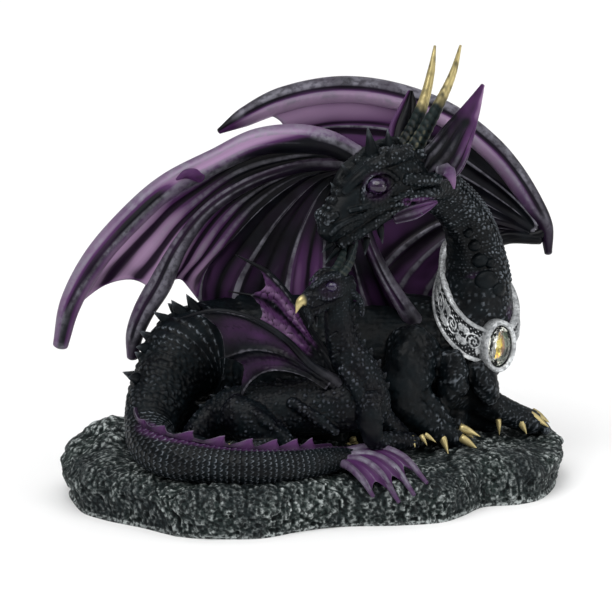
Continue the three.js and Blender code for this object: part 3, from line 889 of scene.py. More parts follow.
def evaluated_mesh(thing: Piece) -> bpy.types.Mesh:
    """A plain mesh of an object with its modifiers applied."""
    graph = bpy.context.evaluated_depsgraph_get()
    return bpy.data.meshes.new_from_object(thing.evaluated_get(graph), depsgraph=graph)


def read(rows: bpy.types.bpy_prop_collection, name: str, width: int = 1, kind: type = np.int32) -> Array:
    """Reads one property of many mesh elements.

    Args:
        rows: the vertices, loops or polygons.
        name: the property.
        width: values for each element.
        kind: their type.

    Returns:
        The values in one row.
    """
    values = np.empty(len(rows) * width, kind)
    rows.foreach_get(name, values)
    return values


def sculpted(shells: Sequence[Shell], voxel: float, rounds: int = 4) -> Shell:
    """One closed skin round overlapping shells, with its joints smoothed.

    Args:
        shells: closed shells.
        voxel: size of the new faces in millimetres.
        rounds: how much the joints are smoothed.

    Returns:
        The new shell.
    """
    for shell in shells:
        shell.marks = {}
    rough_form = mesh_object("rough_form", joined(shells))
    remesh = rough_form.modifiers.new("remesh", "REMESH")
    remesh.mode, remesh.voxel_size = "VOXEL", voxel * MM
    mesh = evaluated_mesh(rough_form)
    points = read(mesh.vertices, "co", 3, np.float32).reshape(-1, 3).astype(float) / MM
    sizes, starts = read(mesh.polygons, "loop_total"), read(mesh.polygons, "loop_start")
    loops = read(mesh.loops, "vertex_index")
    quads, tris = (loops[starts[sizes == n][:, None] + np.arange(n)].astype(int) for n in (4, 3))
    bpy.data.meshes.remove(mesh)
    bpy.data.objects.remove(rough_form)
    shell = Shell(points, quads, tris)
    edges = shell.edges()
    for _ in range(rounds):
        for strength in (0.5, -0.42):
            shell.points = relaxed(shell.points, edges, 1, strength)
    return shell


def raise_skin(shell: Shell, heights: Array) -> None:
    """Moves each point out along its normal by that many millimetres."""
    shell.points = shell.points + shell.normals() * heights[:, None]


def mark_proud(shell: Shell, reach: float, rounds: int = 5) -> None:
    """Marks what stands proud of its surroundings, 0.5 being level.

    Args:
        shell: the shell, which gets the mark proud.
        reach: millimetres that count as fully proud.
        rounds: how wide its surroundings are.
    """
    away = shell.points - relaxed(shell.points, shell.edges(), rounds)
    height = np.einsum("ij,ij->i", away, shell.normals()) / reach
    shell.marks["proud"] = 0.5 + 0.5 * np.clip(height, -1, 1)


def dim_paint(shell: Shell, share: Array, uneven: float) -> None:
    """Leaves less dry brush on a shell.

    Args:
        shell: the shell, which has the mark proud.
        share: how much is left, over 1 for all of it.
        uneven: how much that changes over about a centimetre.
    """
    kept = np.clip(share + uneven * drift(shell.points, 11.0, 77), 0, 1)
    level = np.maximum(shell.marks["proud"] - 0.5, 0)
    shell.marks["proud"] = shell.marks["proud"] - level * (1 - kept)


def place(name: str, shell: Shell, finish: Finish, part: Part, smooth: bool = True) -> Piece:
    """Puts a finished piece on the frame in place of a solid, with the marks its finish reads.

    Args:
        name: the piece's name.
        shell: its mesh.
        finish: its material.
        part: what it belongs to.
        smooth: whether its faces are shaded smooth.

    Returns:
        The object.
    """
    proud, lilac, gleam = (shell.marks.get(mark, np.full(len(shell.points), usual))
                           for mark, usual in zip(MARKS, (0.5, 0.0, 0.0)))
    shell.marks = {"proud": proud, "lilac": np.clip(lilac, 0, 1), "gleam": np.clip(gleam, 0, 1)}
    return set_down(mesh_object(name, shell, smooth), finish, part)


def set_down(piece: Piece, finish: Finish, part: Part) -> Piece:
    """Gives an object its finish and puts it on the frame in place of a solid.

    Args:
        piece: the object.
        finish: its material.
        part: what it belongs to.

    Returns:
        The object.
    """
    slot, node = part.value
    piece.data.materials.clear()
    piece.data.materials.append(finish_material(finish))
    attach(piece, BODY_NAME)
    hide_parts(node)
    LOG.info("%s: %d faces", piece.name, len(piece.data.polygons))
    return piece


# Rows of spikes, claws and beads, set out by Geometry Nodes

class Ornament(Enum):
    """What is set out along a row."""

    SPIKE = "spike"
    BEAD = "bead"



@dataclass
class Row:
    """Ornaments on points: each has a root, the way it points, the way it bends and its sizes."""

    roots: list[Array] = field(default_factory=list)
    ways: list[Array] = field(default_factory=list)
    leans: list[Array] = field(default_factory=list)
    sizes: list[Triple] = field(default_factory=list)

    def put(self, root: Array, way: Array, lean: Array, sizes: Triple) -> None:
        """Adds one ornament.

        Args:
            root: its root.
            way: the way it points.
            lean: the way it bends.
            sizes: half width, half thickness and length in millimetres.
        """
        self.roots.append(np.asarray(root, float))
        self.ways.append(unit(np.asarray(way, float)))
        self.leans.append(unit(np.asarray(lean, float)))
        self.sizes.append(sizes)

    def spike(self, root: Array, tip: Array, lean: Array, wide: float, thick: float) -> None:
        """Adds an ornament from its root to its tip.

        Args:
            root: its root.
            tip: its tip.
            lean: the way it bends.
            wide: its half width.
            thick: its half thickness.
        """
        way = np.asarray(tip, float) - root
        self.put(root, way, lean, (wide, thick, float(np.linalg.norm(way))))

    def ridge(self, limb: Limb, span: tuple[float, float], count: int,
              sizes: Callable[[float], Triple], sunk: float = 0.8, turn: float = TOP_TURN,
              lean: float = 0.5) -> None:
        """Adds a row along a limb.

        Args:
            limb: the limb.
            span: its first and last place.
            count: how many.
            sizes: half width, half thickness and length for a share from 0 to 1 of the row.
            sunk: how deep their roots are in the skin, in millimetres.
            turn: where round the limb.
            lean: how far they lean along the limb.
        """
        for share in np.linspace(0, 1, count):
            at = np.array(span[0] + (span[1] - span[0]) * share)
            along = limb.axes(at)[1]
            skin = limb.skin(at, np.array(turn), -sunk)
            out = unit(limb.skin(at, np.array(turn), 1.0) - skin)
            self.put(skin, out + along * lean, along, sizes(float(share)))

    def lay(self, name: str, kind: Ornament, finish: Finish, part: Part, bend: float = 0.0,
            sides: int = 8, gleam: float = 0.0, proud: float | None = None) -> Piece:
        """Makes the row a plain mesh and puts it on the frame.

        Args:
            name: the piece's name.
            kind: the ornament.
            finish: its finish.
            part: what it belongs to.
            bend: how far a spike's tip bends, in lengths.
            sides: its sides.
            gleam: how much of it is bare gold.
            proud: the same mark proud all over, or None for one that grows with height.

        Returns:
            The object.
        """
        path = bpy.data.meshes.new(name + "_path")
        path.from_pydata([tuple(root * MM) for root in self.roots], [], [])
        for mark, rows in (("way", self.ways), ("lean", self.leans), ("size", self.sizes)):
            layer = path.attributes.new(mark, "FLOAT_VECTOR", "POINT")
            layer.data.foreach_set("vector", np.array(rows, np.float32).ravel())
        piece = linked(name, path)
        tree = ornament_tree(kind, finish_material(finish))
        modifier = piece.modifiers.new("row", "NODES")
        modifier.node_group = tree
        values = {"Sides": sides, "Bend": bend, "Gleam": gleam, "Seed": SEED}
        for item in tree.interface.items_tree:
            if item.item_type == "SOCKET" and item.in_out == "INPUT" and item.name in values:
                modifier[item.identifier] = values[item.name]
        mesh = evaluated_mesh(piece)
        piece.modifiers.clear()
        piece.data = mesh
        mesh.name = name
        if proud is not None:
            even = np.full(len(mesh.vertices), proud, np.float32)
            mesh.attributes["proud"].data.foreach_set("value", even)
        return set_down(piece, finish, part)


def ornament_tree(kind: Ornament, material: bpy.types.Material) -> bpy.types.NodeTree:
    """The node tree that sets an ornament on each point of a path.

    Args:
        kind: a bent spike or a round bead.
        material: what the ornament is painted with.

    Returns:
        The tree, with inputs Sides, Bend, Gleam and Seed.
    """
    tree = bpy.data.node_groups.new(kind.value + "_row", "GeometryNodeTree")
    face = tree.interface
    face.new_socket("Geometry", in_out="INPUT", socket_type="NodeSocketGeometry")
    for name, numbers, value in (("Sides", "Int", 8), ("Bend", "Float", 0.0), ("Gleam", "Float", 0.0),
                                 ("Seed", "Int", SEED)):
        face.new_socket(name, in_out="INPUT", socket_type="NodeSocket" + numbers).default_value = value
    face.new_socket("Geometry", in_out="OUTPUT", socket_type="NodeSocketGeometry")
    given = add(tree, "NodeGroupInput").node.outputs
    spot = add(tree, "GeometryNodeInputPosition")
    level = add(tree, "ShaderNodeSeparateXYZ", None, (spot,), "Z")
    height = add(tree, MATH, {"operation": "MAXIMUM"}, (level, 0.0))
    square = add(tree, MATH, {"operation": "POWER"}, (height, 2.0))
    if kind is Ornament.SPIKE:
        # A cone, made fuller towards its middle as a claw is
        form = add(tree, "GeometryNodeMeshCone", {"fill_type": "NGON"}, {
            "Vertices": given["Sides"], "Side Segments": 7, "Radius Top": 0.04,
            "Radius Bottom": 1.0, "Depth": 1.0})
        swell = add(tree, MATH, {"operation": "SUBTRACT"}, (1.0, square))
        taper = add(tree, MATH, {"operation": "SUBTRACT"}, (1.0, height))
        taper = add(tree, MATH, {"operation": "MAXIMUM"}, (taper, 0.06))
        fuller = add(tree, MATH, {"operation": "DIVIDE"}, (swell, taper))
        fuller = add(tree, MATH, {"operation": "MINIMUM"}, (fuller, 1.45))
        rounder = add(tree, "ShaderNodeCombineXYZ", None, (fuller, fuller, 1.0))
        fat = add(tree, "ShaderNodeVectorMath", {"operation": "MULTIPLY"}, (spot, rounder))
        form = add(tree, "GeometryNodeSetPosition", None, {"Geometry": form, "Position": fat})
    else:
        form = add(tree, "GeometryNodeMeshUVSphere", None, {
            "Segments": given["Sides"], "Rings": 6, "Radius": 1.0})
    marked = {"data_type": "FLOAT", "domain": "POINT"}
    shown = add(tree, "ShaderNodeMapRange", None, (height, 0.0, 1.0, 0.25, 0.85))
    form = add(tree, "GeometryNodeStoreNamedAttribute", marked,
               {"Geometry": form, "Name": "proud", "Value": shown})
    points = add(tree, "GeometryNodeMeshToPoints", None, {"Mesh": given["Geometry"]})
    way, lean, size = (
        add(tree, "GeometryNodeInputNamedAttribute", {"data_type": "FLOAT_VECTOR"}, {"Name": mark},
            "Attribute") for mark in ("way", "lean", "size"))
    aim = add(tree, "FunctionNodeAlignRotationToVector", {"axis": "Z"}, {"Vector": way})
    aim = add(tree, "FunctionNodeAlignRotationToVector", {"axis": "X", "pivot_axis": "Z"},
              {"Rotation": aim, "Vector": lean})
    uneven = add(tree, "FunctionNodeRandomValue", {"data_type": "FLOAT"},
                 {"Min": 0.92, "Max": 1.08, "Seed": given["Seed"]}, 1)
    for scale in (uneven, MM):
        size = add(tree, "ShaderNodeVectorMath", {"operation": "SCALE"}, {0: size, "Scale": scale})
    arc = add(tree, MATH, {"operation": "MULTIPLY"}, (square, given["Bend"]))
    shift = add(tree, "ShaderNodeCombineXYZ", None, (arc, 0.0, 0.0))
    bent = add(tree, "GeometryNodeSetPosition", None, {"Geometry": form, "Offset": shift})
    rows = add(tree, "GeometryNodeInstanceOnPoints", None, {
        "Points": points, "Instance": bent, "Rotation": aim, "Scale": size})
    plain = add(tree, "GeometryNodeRealizeInstances", None, {"Geometry": rows})
    for name, value in (("gleam", given["Gleam"]), ("lilac", 0.0)):
        plain = add(tree, "GeometryNodeStoreNamedAttribute", marked,
                    {"Geometry": plain, "Name": name, "Value": value})
    even = add(tree, "GeometryNodeSetShadeSmooth", None, {"Geometry": plain})
    painted = add(tree, "GeometryNodeSetMaterial", None, {"Geometry": even, "Material": material})
    add(tree, "NodeGroupOutput", None, {"Geometry": painted})
    return tree


# The skeletons, as in the solids

BODY = Limb((
    (67, 24, 39, 13, 20), (52, 26, 47, 20.5, 28), (34, 27, 48, 22, 28.5), (12, 27, 48, 21, 28.5),
    (-12, 26, 49, 22, 28.5), (-31, 21, 51, 19, 27), (-47, 11, 55, 17, 19), (-56, -2, 47, 13.5, 14),
    (-61, -18, 37, 11, 11.5), (-61, -33, 30, 9.6, 9.6), (-53, -45, 27.5, 8.8, 8.8),
    (-38, -51, 26, 8, 8), (-20, -52, 25, 7.2, 7.2), (-2, -46, 24.3, 6.4, 6.4),
    (10, -37.5, 24, 5.4, 5.4), (20, -31, 23.5, 3.8, 3.8)), BODY_FACING)
NECK = Limb((
    (58, 25, 46, 19, 20), (66.5, 25, 60, 19, 19.5), (69, 25, 72, 17, 17), (70, 25, 84, 15, 14.5),
    (69, 24, 96, 12.5, 12), (65.5, 20, 108, 11, 10.5), (59, 14, 118, 10.5, 10), (50, 8, 126, 10, 10),
), RIGHT)
HEAD = Limb((
    (56, 9, 126, 8, 8), (46, 3, 130, 11.5, 12.5), (35, -4, 130, 12, 13), (25, -10, 126, 10, 12),
    (17, -15, 120, 8, 9.5), (11, -18.5, 114, 6.6, 7), (8, -20, 110.5, 4.2, 4.6)))
JAW = Limb((
    (40, -4, 122, 8, 4.5), (30, -10, 117.5, 6.5, 4), (21, -15, 111.5, 5, 3.2),
    (13.5, -18.5, 106.8, 3.2, 2.4)))
BROW = Limb(((20, -18, 133, 2, 2.4), (28, -18.5, 138, 2.6, 3), (39, -11, 141, 2.2, 2.6)))
FAR_BROW = Limb(((17, -9, 134, 2, 2.4), (26, -1, 141, 2.6, 3), (36, 5, 143, 2.2, 2.6)))
NEAR_HORN = Limb(((41, -3, 139, 3.6), (47, -2, 149, 3), (53, 0, 160, 2.2), (58, 2, 171, 1.5),
                  (61, 3, 182, 0.5)), RIGHT)
FAR_HORN = Limb(((38, 5, 140, 3.6), (43, 7, 149, 3), (47, 9, 159, 2.2), (50, 12, 171, 1.5),
                 (51.5, 15, 180.5, 0.5)), RIGHT)
NEAR_EAR = Limb(((47, -6, 131, 3, 2.4), (54, -8, 138, 8.5, 2), (60, -9, 149, 6.5, 1.7),
                 (65, -10, 159, 3.6, 1.4), (69, -11, 168, 0.8, 0.8)), LEAF_FACING)
FAR_EAR = Limb(((36, 7, 138, 4, 2.4), (39, 11, 147, 6, 1.9), (41, 14, 155, 4, 1.5),
                (42, 17, 162, 0.8, 0.8)), LEAF_FACING)
NEAR_ARM = Limb(((44, 8, 58, 11, 14), (41, -1, 49, 10, 12), (38, -5, 41, 8.5, 9), (46, -4, 33, 6.5, 6.5),
                 (54, -1, 26, 5.6, 5.6), (61, 3, 21.5, 6.4, 4.8)))
FAR_ARM = Limb(((65, 21, 52, 10, 12), (68, 19, 42, 8.2, 9), (74, 19, 33.5, 6.6, 6.8),
                (84, 21, 27.5, 6, 5.8),
                (94, 25, 22.5, 6.6, 5.4)))
BELLY = Limb(((-40, 20, 27, 12, 10), (-10, 25, 25, 19, 10), (30, 26, 25, 20, 10), (64, 24, 25, 15, 9)))
THIGH = Limb(((-30, 14, 48, 10, 14), (-18, 8, 47, 15, 20), (-2, 2, 42, 13, 17), (8, -3, 34, 8, 10)))
FOOT = Limb(((6, -2, 33, 6, 8), (2, -7, 29, 7, 6), (14, -10, 25, 6, 5)))
BACK_THIGH = Limb(((-30, 34, 50, 10, 12), (-18, 41, 44, 13, 19), (-2, 43, 38, 12, 15),
                   (8, 44, 31, 8, 9)))
BACK_FOOT = Limb(((6, 45, 29, 6, 8), (4, 47, 24, 6, 6), (18, 49, 21, 6, 4.5)))
BACK_SHOULDER = Limb(((46, 38, 58, 10, 13), (44, 45, 46, 9, 12), (48, 48, 34, 7, 8), (60, 49, 22, 6, 5)))

CUB_BODY = Limb((
    (30, -27, 44, 6, 8), (20, -26, 44, 10, 11.5), (5, -23, 42, 10.5, 11.5), (-12, -21, 40, 11, 11),
    (-27, -20, 38, 10, 11), (-39, -21, 34, 6, 7.5), (-45, -31, 30, 4, 4), (-36, -38.5, 28.5, 3, 3),
    (-24, -39, 28.5, 1.6, 1.6)))
CUB_NECK = Limb(((24, -27, 44, 9, 9), (21.5, -27, 54, 8.5, 9), (15, -27, 67, 6.4, 6.8),
                 (12.5, -27.5, 79, 5.4, 5.4), (13, -28, 88, 4.6, 5)), RIGHT)
CUB_HEAD = Limb(((17, -26, 91, 4, 4.6), (11, -29, 91.5, 5.8, 6.2), (5, -32, 89, 5, 5.2),
                 (0.5, -34.5, 87, 3.4, 3.8)))
CUB_BEAK = Limb(((2, -34, 88, 3, 3.4), (-2, -36.5, 87, 2.2, 2.4), (-4, -37.5, 82.5, 0.5, 0.5)))
CUB_JAW = Limb(((9, -29.5, 85.5, 3.6, 2.4), (3, -33, 82.5, 2.8, 2), (1, -34, 80.5, 1.4, 1.2)))
CUB_NEAR_HORN = Limb(((13, -29.5, 95, 2), (17, -27, 100, 1.5), (20, -23, 108, 0.5)))
CUB_FAR_HORN = Limb(((11, -25, 96, 2), (14, -20, 101, 1.5), (16, -15, 108, 0.5)))
CUB_ARM = Limb(((24, -33, 48, 5.5, 7), (25, -36, 39, 4.8, 5.6), (27, -33, 31, 4, 4.2),
                (35, -24, 28, 3.8, 3.8), (42, -16, 25.5, 4.4, 3.6)))
CUB_FAR_ARM = Limb(((26, -20, 46, 5, 7), (30, -17, 36, 4.6, 5), (38, -12, 27, 4, 4)))
CUB_THIGH = Limb(((-30, -28, 41, 6, 8), (-22, -31, 37, 6.5, 9), (-13, -33, 33, 5, 6),
                  (-8, -34, 30, 4, 4)))
CUB_FOOT = Limb(((-12, -34, 31, 4, 4), (-20, -37, 29, 4, 3), (-28, -38, 28.5, 3.4, 2.6)))


@dataclass(frozen=True)
class Finger:
    """A wing finger: its bone, how far the skin follows it and how deep the skin's edge dips."""

    path: Sequence[Sequence[float]]
    web: float = 1.0
    dip: float = 0.02

    def bone(self) -> Limb:
        """The finger's bone as a limb."""
        return Limb(self.path, (0.0, 1.0, 0.0))


NEAR_WING = (
    Finger(((20, 16, 136, 4.5), (9, 18, 141, 5.2), (-4, 20, 142.5, 6), (-20, 20, 141, 5.6),
            (-37, 18, 133.5, 5), (-55.5, 15.5, 124, 5.1), (-68.8, 12, 113, 5.3), (-85, 7, 95.4, 5.1),
            (-95.2, 3, 77.5, 4.4), (-99.2, 0, 61.4, 3.1)), 0.93, 0.05),
    Finger(((18, 17, 133, 3), (-2, 23, 131, 3), (-23, 24, 124, 3), (-40, 23, 113, 3.2),
            (-52, 21.5, 98, 4), (-60, 19.5, 82, 5), (-66.6, 18, 71, 4.4), (-70.2, 17, 62, 3.7),
            (-71.4, 17, 52.4, 2.4)), 0.66, 0.11),
    Finger(((18, 18, 132, 2.6), (2, 25, 128, 2.6), (-16, 27, 116, 2.6), (-31, 28, 100, 2.6),
            (-42, 28, 86, 2.6), (-44.5, 27, 69, 1.8)), 0.95),
    Finger(((18, 18, 131, 2.4), (5, 26, 125, 2.4), (-8, 28, 112, 2.4), (-20, 28, 95, 2.4),
            (-28, 27, 80, 2.2), (-31, 26, 66, 1.8))),
    Finger(((18, 18, 130, 2.4), (9, 26, 123, 2.4), (0, 28, 108, 2.4), (-6, 28, 90, 2.2),
            (-9, 27, 68, 1.8))),
    Finger(((19, 18, 129, 2.4), (13, 24, 121, 2.4), (9, 26, 105, 2.4), (8, 26, 88, 2.2),
            (9, 26, 68, 1.8))),
    Finger(((20, 17, 128, 2.4), (18, 20, 118, 2.4), (19, 20, 102, 2.4), (22, 20, 87, 2.2),
            (26, 22, 68, 1.8))),
    Finger(((21, 15, 128, 3), (22, 13, 118, 2.4), (25, 11, 104, 2.2), (32, 10, 88, 2.6),
            (45, 17, 66, 4)), 1.0, 0.0),
)
FAR_WING = (
    Finger(((101.8, 48, 90, 1.6), (100.5, 49, 101, 3.2), (94.5, 51, 111.5, 4.6), (86.5, 52, 123.5, 5),
            (77, 53.5, 134, 5.2), (60, 55, 146.5, 5.4), (38, 55, 155, 5.6), (14, 54.5, 158, 5.6),
            (-10, 52, 154, 5.4), (-26, 48, 147.3, 4), (-36, 45, 142, 1.2)), 0.87, 0.04),
    Finger(((100, 48.5, 98, 2), (88, 51, 112, 2.6), (73, 53, 124, 2.8), (54, 55, 135.5, 2.8),
            (29, 55.5, 142, 2.8), (3, 54, 141.5, 2.6), (-18, 50, 133, 1.6)), 0.93, 0.22),
    Finger(((99, 48.5, 97, 2), (83, 51, 106, 2.6), (64, 53, 115.5, 2.8), (42, 54, 121, 2.8),
            (17, 53, 119, 2.6), (-4, 50, 110, 1.6)), 0.9, 0.13),
    Finger(((98, 48.5, 96, 2), (80, 50, 101.5, 2.6), (60, 50, 103, 2.8), (44, 46, 95, 2.8),
            (31, 41, 83, 2.6), (26, 37, 71, 2.6)), 1.0, 0.12),
    Finger(((98, 48, 96, 2.4), (82, 48, 96, 3), (70, 46, 86, 3.8), (61, 42, 73, 4.6),
            (57, 38, 64, 5)), 1.0, 0.0),
)
CUB_NEAR_WING = (
    Finger(((13, -30, 53, 3), (2, -33.5, 61, 2.2), (-8, -32, 71, 1.9), (-22, -29.5, 79, 1.8),
            (-36, -28, 81.5, 1.6), (-50, -26, 78, 0.7)), 0.88, 0.06),
    Finger(((11, -31, 52, 2), (0, -33.5, 60, 1.6), (-9, -32, 65, 1.5), (-21, -29.5, 66.5, 1.4),
            (-34, -27, 62, 0.7)), 0.96, 0.14),
    Finger(((9, -31, 50, 2), (-1, -33, 57, 1.6), (-13, -31, 58.5, 1.5), (-21, -28.5, 54, 1.4),
            (-26, -27, 46, 0.8)), 1.0, 0.0),
)
CUB_FAR_WING = (
    Finger(((14, -22, 53, 3), (6, -16.5, 64, 2.2), (0, -14, 73, 2), (-6, -12, 83, 1.8),
            (-15, -10, 93, 1.6), (-28, -8, 100, 0.7)), 0.86, 0.08),
    Finger(((12, -21, 52, 2), (3, -16, 64, 1.6), (-6, -13, 74, 1.5), (-15, -11, 82, 1.4),
            (-31, -9, 85.5, 0.7)), 0.86, 0.16),
    Finger(((10, -20, 50, 2), (-2, -16, 61, 1.6), (-13, -13, 67, 1.5), (-27, -11, 72, 0.8)), 1.0, 0.0),
)
TAIL_FIN = (
    Finger(((14, -33, 25, 2.4), (27, -31, 27, 2), (38, -36, 24.5, 1.7), (47, -46, 17, 0.8)), 0.92, 0.2),
    Finger(((14, -34, 24, 2.2), (25, -36, 25.5, 1.8), (34, -42, 22.5, 1.6),
            (42, -49, 13, 0.8)), 0.94, 0.2),
    Finger(((13, -35, 23.5, 2.2), (22, -40, 24, 1.8), (29, -46, 20.5, 1.6), (36, -50.5, 10.5, 0.8)),
           0.94, 0.2),
    Finger(((12, -36, 23, 2), (17, -43, 22.5, 1.6), (22, -49, 19, 1.4), (26, -51, 13, 0.8)), 0.94, 0.0),
)


# Wing skins

@dataclass(frozen=True)
class Web:
    """Where each point of a wing skin lies.

    It has the number of its gap between fingers, its shares across and down, and the gap's width.
    """

    gap: Array
    across: Array
    down: Array
    wide: Array


def web_shell(fingers: Sequence[Finger], columns: int, rows: int, skin: float, rib: float,
              billow: float, relief: Callable[[Web], Array], start: float = 0.04) -> Shell:
    """A closed ribbed skin between fingers.

    Args:
        fingers: the fingers, from the leading one.
        columns: columns of faces in each gap.
        rows: rows of faces from the wrist to the edge.
        skin: thickness between the ribs.
        rib: thickness at a rib.
        billow: how far the skin sags between the ribs at its edge.
        relief: extra height of folds for a Web.
        start: where along the fingers it starts.

    Returns:
        The shell, with marks gap, across and down.
    """
    gaps, rib_width = len(fingers) - 1, 1.5
    column = np.arange(gaps * columns + 1)
    gap = np.minimum(column // columns, gaps - 1)
    across = (column - gap * columns) / columns
    down = np.linspace(0, 1, rows + 1)
    reach, dips = (np.array(values) for values in zip(*((f.web, f.dip) for f in fingers)))
    full = reach[gap] * (1 - across) + reach[gap + 1] * across
    place_ = start + np.outer(down, full * (1 - dips[gap] * np.sin(math.pi * across)) - start)
    left = np.empty(place_.shape + (3,))
    right = np.empty_like(left)
    for i in range(gaps):
        mine = gap == i
        for side, finger in ((left, fingers[i]), (right, fingers[i + 1])):
            side[:, mine] = finger.bone().spot(place_[:, mine])
    flat = left + (right - left) * across[None, :, None]
    normal = unit(np.cross(np.gradient(flat, axis=1), np.gradient(flat, axis=0)))
    wide = np.linalg.norm(right - left, axis=2)
    away = np.minimum(across, 1 - across)[None, :] * wide
    ridge = np.exp(-((away / rib_width) ** 2))
    lay = Web(np.repeat(gap[None], rows + 1, 0), np.repeat(across[None], rows + 1, 0),
              np.repeat(down[:, None], len(column), 1), wide)
    half = (skin / 2 + (rib - skin) / 2 * ridge) * (1 - 0.6 * lay.down**12)
    sag = billow * np.sin(math.pi * lay.across) * lay.down + relief(lay)
    sheets = [(flat + normal * lift[..., None]).reshape(-1, 3) for lift in (sag + half, sag - half)]
    each = len(sheets[0])
    faces = grid_faces(rows + 1, len(column), False)
    index = np.arange(each).reshape(rows + 1, len(column))
    rim = np.concatenate([index[0, :-1], index[:-1, -1], index[-1, :0:-1], index[:0:-1, 0]])
    after = np.roll(rim, -1)
    walls = np.stack([rim, after, after + each, rim + each], 1)
    marks = {name: np.tile(values.ravel(), 2) for name, values in
             (("gap", lay.gap.astype(float)), ("across", lay.across), ("down", lay.down))}
    faces = np.vstack([faces, faces[:, ::-1] + each, walls])
    return fix_walls(Shell(np.vstack(sheets), faces, marks=marks))


def fix_walls(shell: Shell) -> Shell:
    """Turns a slab's rim the same way as its two faces, then all of it outwards.

    Args:
        shell: the slab, of four-sided faces only.

    Returns:
        The slab with its faces turned.
    """
    thing = mesh_object("rim", Shell(shell.points, shell.quads))
    work = bmesh.new()
    work.from_mesh(thing.data)
    bmesh.ops.recalc_face_normals(work, faces=work.faces[:])
    work.to_mesh(thing.data)
    work.free()
    loops = read(thing.data.loops, "vertex_index")
    bpy.data.objects.remove(thing)
    return Shell(shell.points, loops.reshape(-1, 4).astype(int), marks=shell.marks).faced_out()


@dataclass
class MotherWing:
    """One wing of the mother: bones, pleated skin and its paint."""

    name: str
    part: Part
    fingers: Sequence[Finger]
    bones: Sequence[int]
    columns: int
    billow: float
    pleats: Sequence[int]
    panel_lilac: Sequence[float]
    knob_path: Rows
    knob_lilac: float
    knob_uneven: float = 0.0
    rows: int = 120
    skin: float = 1.9
    rib: float = 4.2
    pleat_depth: float = 0.95

    def relief(self, lay: Web) -> Array:
        """Pleats with sharp crests between the ribs, and shallow wrinkles across them.

        Args:
            lay: where the points lie.

        Returns:
            Their height in millimetres.
        """
        hollow = np.abs(np.sin(math.pi * np.array(self.pleats)[lay.gap] * lay.across)) ** 0.8
        deep = (ease(lay.down, 0.02, 0.2) * (0.35 + 0.65 * ease(lay.down, 1.0, 0.75))
                * ease(lay.wide, 2.0, 10.0))
        wrinkle = np.sin(lay.down * 46 + 3 * np.sin(lay.across * 5 + lay.gap)) * ease(lay.down, 0.5, 0.9)
        return math.copysign(1.0, self.billow) * (-self.pleat_depth * hollow * deep + 0.05 * wrinkle)

    def web(self) -> Shell:
        """The skin, purple in the hollows and towards its edge.

        Returns:
            Its shell.
        """
        shell = web_shell(self.fingers, self.columns, self.rows, self.skin, self.rib, self.billow,
                          self.relief)
        gap = shell.marks["gap"].astype(int)
        across, down = shell.marks["across"], shell.marks["down"]
        hollow = np.abs(np.sin(math.pi * np.array(self.pleats)[gap] * across))
        line = 0.45 * ease(across, 0.16, 0.04) * (gap == 0)
        strength = np.array(self.panel_lilac)[gap]
        shade = 0.06 + line + strength * (0.25 + 0.75 * hollow) * ease(down, 0.4, 0.85)
        shell.paint(lilac=np.clip(shade + 0.1 * drift(shell.points, 11.0), 0, 1))
        mark_proud(shell, 0.22, 8)
        return shell

    def bone(self, index: int) -> Shell:
        """A bone with its paint and a painted highlight along its upper side.

        Args:
            index: the number of its finger.

        Returns:
            Its shell.
        """
        shell = tube(self.fingers[index].bone(), 1.2, 36, relief=self.bone_relief)
        mark_proud(shell, 0.28, 8)
        upper = -np.cos(shell.marks["turn"])
        if index == 0:
            self.paint_leading(shell, upper, shell.marks["place"])
        else:
            # The upper side gets a painted highlight: more lilac and more dry brush there.
            shell.paint(lilac=0.12 + 0.12 * ease(upper, 0.0, 1.0),
                        proud=np.maximum(shell.marks["proud"], 0.5 + 0.25 * ease(upper, 0.2, 0.9)))
        shell.paint(lilac=np.clip(shell.marks["lilac"] + 0.07 * drift(shell.points, 9.0), 0, 1))
        return shell

    def paint_leading(self, shell: Shell, upper: Array, place_: Array) -> None:
        """Paints the leading bone: dark grey rim above with a painted highlight along its top, lilac
        below, greyer towards the wrist.

        Args:
            shell: the bone, which gets the marks.
            upper: 1 on its upper edge to -1 on its lower edge.
            place_: where along the bone each point is.
        """
        band = ease(upper, 0.25, -0.15) * (0.55 * ease(place_, 0.1, 0.3) + 0.45 * ease(place_, 0.3, 0.5))
        tip = 1 - 0.6 * ease(place_, 0.84, 0.97)
        # rim is a painted highlight: the top edge and a faint band on the upper side take more dry
        # brush.
        rim = 0.5 + 0.2 * ease(upper, 0.9, 1.0) + 0.12 * ease(upper, 0.4, 0.1) * ease(upper, 0.0, 0.3)
        shell.paint(lilac=0.12 + 0.9 * band * tip, proud=np.maximum(shell.marks["proud"] - 0.04, rim))

    def bone_relief(self, skin: Skin) -> Array:
        """A long groove along the bone's face and shallow facets.

        Args:
            skin: where the points lie.

        Returns:
            Their height in millimetres.
        """
        face = np.cos(skin.turn + math.pi / 2 + 0.25)
        ends = ease(skin.place, 0.1, 0.25) * ease(skin.place, 0.93, 0.85)
        return 0.12 * np.sin(3 * skin.turn + skin.along * 0.05) - 0.55 * ease(face, 0.94, 1.0) * ends

    def build(self) -> None:
        """Joins skin and bones and puts the wing on the frame."""
        shells = [self.web()] + [self.bone(i) for i in self.bones] + [self.knob()]
        place(self.name, joined(shells), Finish.MEMBRANE, self.part)

    def knob(self) -> Shell:
        """The knob or claw where the wing's fingers meet.

        Returns:
            Its shell.
        """
        shell = tube(Limb(self.knob_path), 0.6, 16)
        shell.paint(proud=0.45 + self.knob_uneven * drift(shell.points, 2.0), lilac=self.knob_lilac)
        return shell


